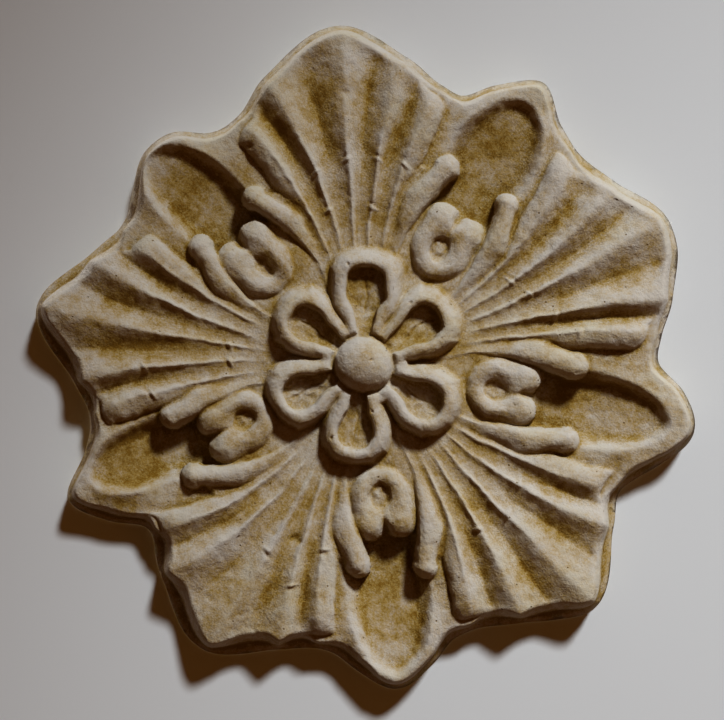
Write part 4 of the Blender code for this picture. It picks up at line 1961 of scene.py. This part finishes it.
FANS = (
    Fan(axis=94.0, root_turn=0.5, root_step=6.6,
        tip_angles=(30.7, 23.3, 15.2, -0.3, -11.8, -19.7, -28.4),
        tip_shares=(0.622, 0.821, 0.895, 1.0, 0.916, 0.857, 0.664),
        opens=(0.5, 0.8, 0.4, 0.3, 0.35, 0.5),
        collars=(Collar(2, 71.0 * MM), Collar(3, 73.5 * MM), Collar(4, 73.0 * MM, -1.0),
                 Collar(4, 56.0 * MM, -1.0), Collar(5, 73.0 * MM, -1.0), Collar(2, 57.0 * MM)),
        outer_depth=4.8 * MM, scallop=0.07),
    Fan(axis=26.0, root_turn=-4.3, root_step=5.4,
        tip_angles=(23.0, 20.1, 9.9, 0.2, -14.1, -20.4, -27.5),
        tip_shares=(0.665, 0.882, 0.916, 0.996, 0.934, 0.888, 0.666),
        opens=(0.4, 0.35, 0.35, 0.5, 0.85, 0.8),
        collars=(Collar(3, 65.0 * MM), Collar(2, 60.5 * MM), Collar(4, 71.5 * MM, -1.0),
                 Collar(5, 78.0 * MM, -1.0)), outer_depth=4.2 * MM, scallop=0.10,
        finger_tips=(4.7 * MM, 5.7 * MM),
        nose_back=(0.0, 5.5 * MM, 0.5 * MM, 0.0, 0.5 * MM, 6.5 * MM, 0.0)),
    Fan(axis=-46.0, root_turn=-0.6, root_step=6.1,
        tip_angles=(26.4, 20.7, 12.7, -0.1, -12.4, -22.4, -28.1),
        tip_shares=(0.675, 0.850, 0.883, 0.992, 0.899, 0.850, 0.660),
        opens=(0.6, 0.7, 0.6, 0.6, 0.6, 0.6),
        collars=(Collar(3, 74.5 * MM), Collar(2, 70.0 * MM), Collar(4, 72.0 * MM, -1.0)),
        finger_tips=(5.4 * MM, 4.7 * MM),
        nose_back=(0.0, 7.0 * MM, 0.5 * MM, 0.0, 0.5 * MM, 5.0 * MM, 0.0)),
    Fan(axis=-118.0, root_turn=2.2, root_step=5.6,
        tip_angles=(27.6, 19.4, 11.5, -1.0, -16.2, -25.6, -31.3),
        tip_shares=(0.629, 0.851, 0.878, 0.969, 0.861, 0.810, 0.633),
        opens=(0.5, 0.5, 0.4, 0.4, 0.45, 0.5),
        collars=(Collar(2, 83.0 * MM), Collar(1, 68.0 * MM), Collar(3, 75.0 * MM, -1.0)),
        outer_depth=3.3 * MM, scallop=0.30),
    Fan(axis=170.5, root_turn=1.4, root_step=6.4,
        tip_angles=(25.4, 20.5, 13.1, -0.6, -11.8, -20.5, -27.6),
        tip_shares=(0.622, 0.823, 0.856, 0.980, 0.874, 0.825, 0.629),
        opens=(0.5, 0.6, 0.6, 0.5, 0.6, 0.5),
        collars=(Collar(3, 48.0 * MM), Collar(2, 78.0 * MM), Collar(2, 47.5 * MM), Collar(1, 76.0 * MM)),
        nose_back=(0.0, 5.5 * MM, 0.5 * MM, 0.0, 0.5 * MM, 9.0 * MM, 0.0)),
)

CUPS = (
    Cup(57.5, (0.845, 0.913, 0.984, 0.919, 0.891),
        Pocket(57.8, 0.910, 15.5 * MM, 15.5 * MM, 5.0 * MM), Eye(56.0, 49.9 * MM)),
    Cup(-12.0, (0.873, 0.950, 0.998, 0.922, 0.861),
        Pocket(-11.5, 0.916, 14.0 * MM, 13.5 * MM, 3.6 * MM), Eye(-11.0, 48.9 * MM), 3.4 * MM),
    Cup(-84.0, (0.856, 0.909, 0.965, 0.909, 0.859),
        Pocket(-83.7, 0.922, 15.0 * MM, 15.0 * MM, 3.6 * MM), Eye(-82.4, 48.6 * MM)),
    Cup(-155.5, (0.808, 0.886, 0.958, 0.865, 0.826),
        Pocket(-157.2, 0.873, 11.5 * MM, 12.0 * MM, 3.6 * MM), Eye(-154.2, 48.0 * MM)),
    Cup(136.0, (0.824, 0.855, 0.900, 0.881, 0.824),
        Pocket(136.0, 0.898, 12.0 * MM, 16.0 * MM, 3.6 * MM), Eye(135.9, 50.5 * MM, 3.0 * MM, 2.1)),
)

PETALS = (
    Petal(88.2, 27.6 * MM, 7.4 * MM, 3.2),
    Petal(34.0, 26.4 * MM),
    Petal(-31.0, 25.4 * MM, 6.8 * MM),
    Petal(-96.5, 24.6 * MM, 6.5 * MM),
    Petal(-155.5, 25.0 * MM),
    Petal(144.5, 25.2 * MM),
)

NICKS = (
    Nick((348.0, 265.0), 0.5 * MM, 1.2 * MM),
    Nick((372.0, 268.0), 0.45 * MM, 1.1 * MM),
    Nick((410.0, 303.0), 0.5 * MM, 1.2 * MM),
    Nick((372.0, 411.0), 0.5 * MM, 1.1 * MM),
    Nick((332.0, 437.0), 0.5 * MM, 1.2 * MM),
    Nick((371.0, 360.0), 0.45 * MM, 0.9 * MM),
    Nick((295.0, 537.0), 1.8 * MM, 1.1 * MM),
    Nick((300.0, 541.0), 0.9 * MM, 1.2 * MM),
    Nick((250.0, 147.0), 1.2 * MM, 1.0 * MM),
    Nick((345.0, 95.0), 1.4 * MM, 0.9 * MM),
)

STAINS_AND_SHADOWS = (
    StainAndShadow((195.0, 175.0), 12.0 * MM, 1.0),
    StainAndShadow((120.0, 470.0), 14.0 * MM, 1.4),
    StainAndShadow((495.0, 150.0), 12.0 * MM, 0.9),
    StainAndShadow((320.0, 95.0), 9.0 * MM, 0.8),
    StainAndShadow((275.0, 115.0), 7.0 * MM, 0.8),
    StainAndShadow((392.0, 600.0), 12.0 * MM, 0.9),
    StainAndShadow((240.0, 600.0), 16.0 * MM, 0.4),
    StainAndShadow((620.0, 205.0), 12.0 * MM, -0.6),
    StainAndShadow((355.0, 60.0), 9.0 * MM, -0.5),
    StainAndShadow((600.0, 410.0), 12.0 * MM, -0.5),
    StainAndShadow((430.0, 470.0), 14.0 * MM, 0.2),
    StainAndShadow((363.5, 364.0), 30.0 * MM, -0.30),
    StainAndShadow((130.0, 330.0), 24.0 * MM, 0.5),
    StainAndShadow((500.0, 300.0), 14.0 * MM, -0.4),
    # Painted shadow of the knob in the deep hole of the right cup
    StainAndShadow((566.0, 399.0), 6.0 * MM, 1.6),
    StainAndShadow((220.0, 560.0), 11.0 * MM, -0.6),
    StainAndShadow((530.0, 385.0), 8.0 * MM, -0.5),
    StainAndShadow((350.0, 110.0), 10.0 * MM, 0.4),
    StainAndShadow((520.0, 540.0), 11.0 * MM, -0.4),
    StainAndShadow((100.0, 330.0), 11.0 * MM, 0.4),
    StainAndShadow((365.0, 290.0), 5.5 * MM, 0.8),
    StainAndShadow((405.0, 336.0), 5.0 * MM, 0.6),
    StainAndShadow((406.0, 390.0), 5.0 * MM, 0.4),
    StainAndShadow((358.0, 414.0), 5.0 * MM, 0.5),
    StainAndShadow((318.0, 385.0), 5.0 * MM, 0.5),
    StainAndShadow((323.0, 335.0), 5.0 * MM, 0.6),
    # The next two are painted shadows under the rims of the top and upper right petals
    StainAndShadow((366.0, 277.0), 3.4 * MM, 1.5),
    StainAndShadow((434.0, 320.0), 2.8 * MM, 1.2),
    # Painted shadow in the dark hole of the lower left cup
    StainAndShadow((160.0, 446.0), 7.0 * MM, 0.8),
)


def main() -> None:
    """Builds the plaque and its studio in order."""
    logging.basicConfig(level=logging.INFO, format="%(name)s: %(message)s")
    Studio().build()
    LOG.info("wall, lights and camera set")
    plaque = Plaque(Carving(FANS, CUPS, Flower(PETALS), NICKS), stains=STAINS_AND_SHADOWS)
    piece = plaque.build()
    LOG.info("stone carved: %d points", len(piece.data.vertices))
    plaque.dress(piece)
    LOG.info("stone dressed: %d faces", len(piece.data.polygons))


if __name__ == "__main__":
    main()
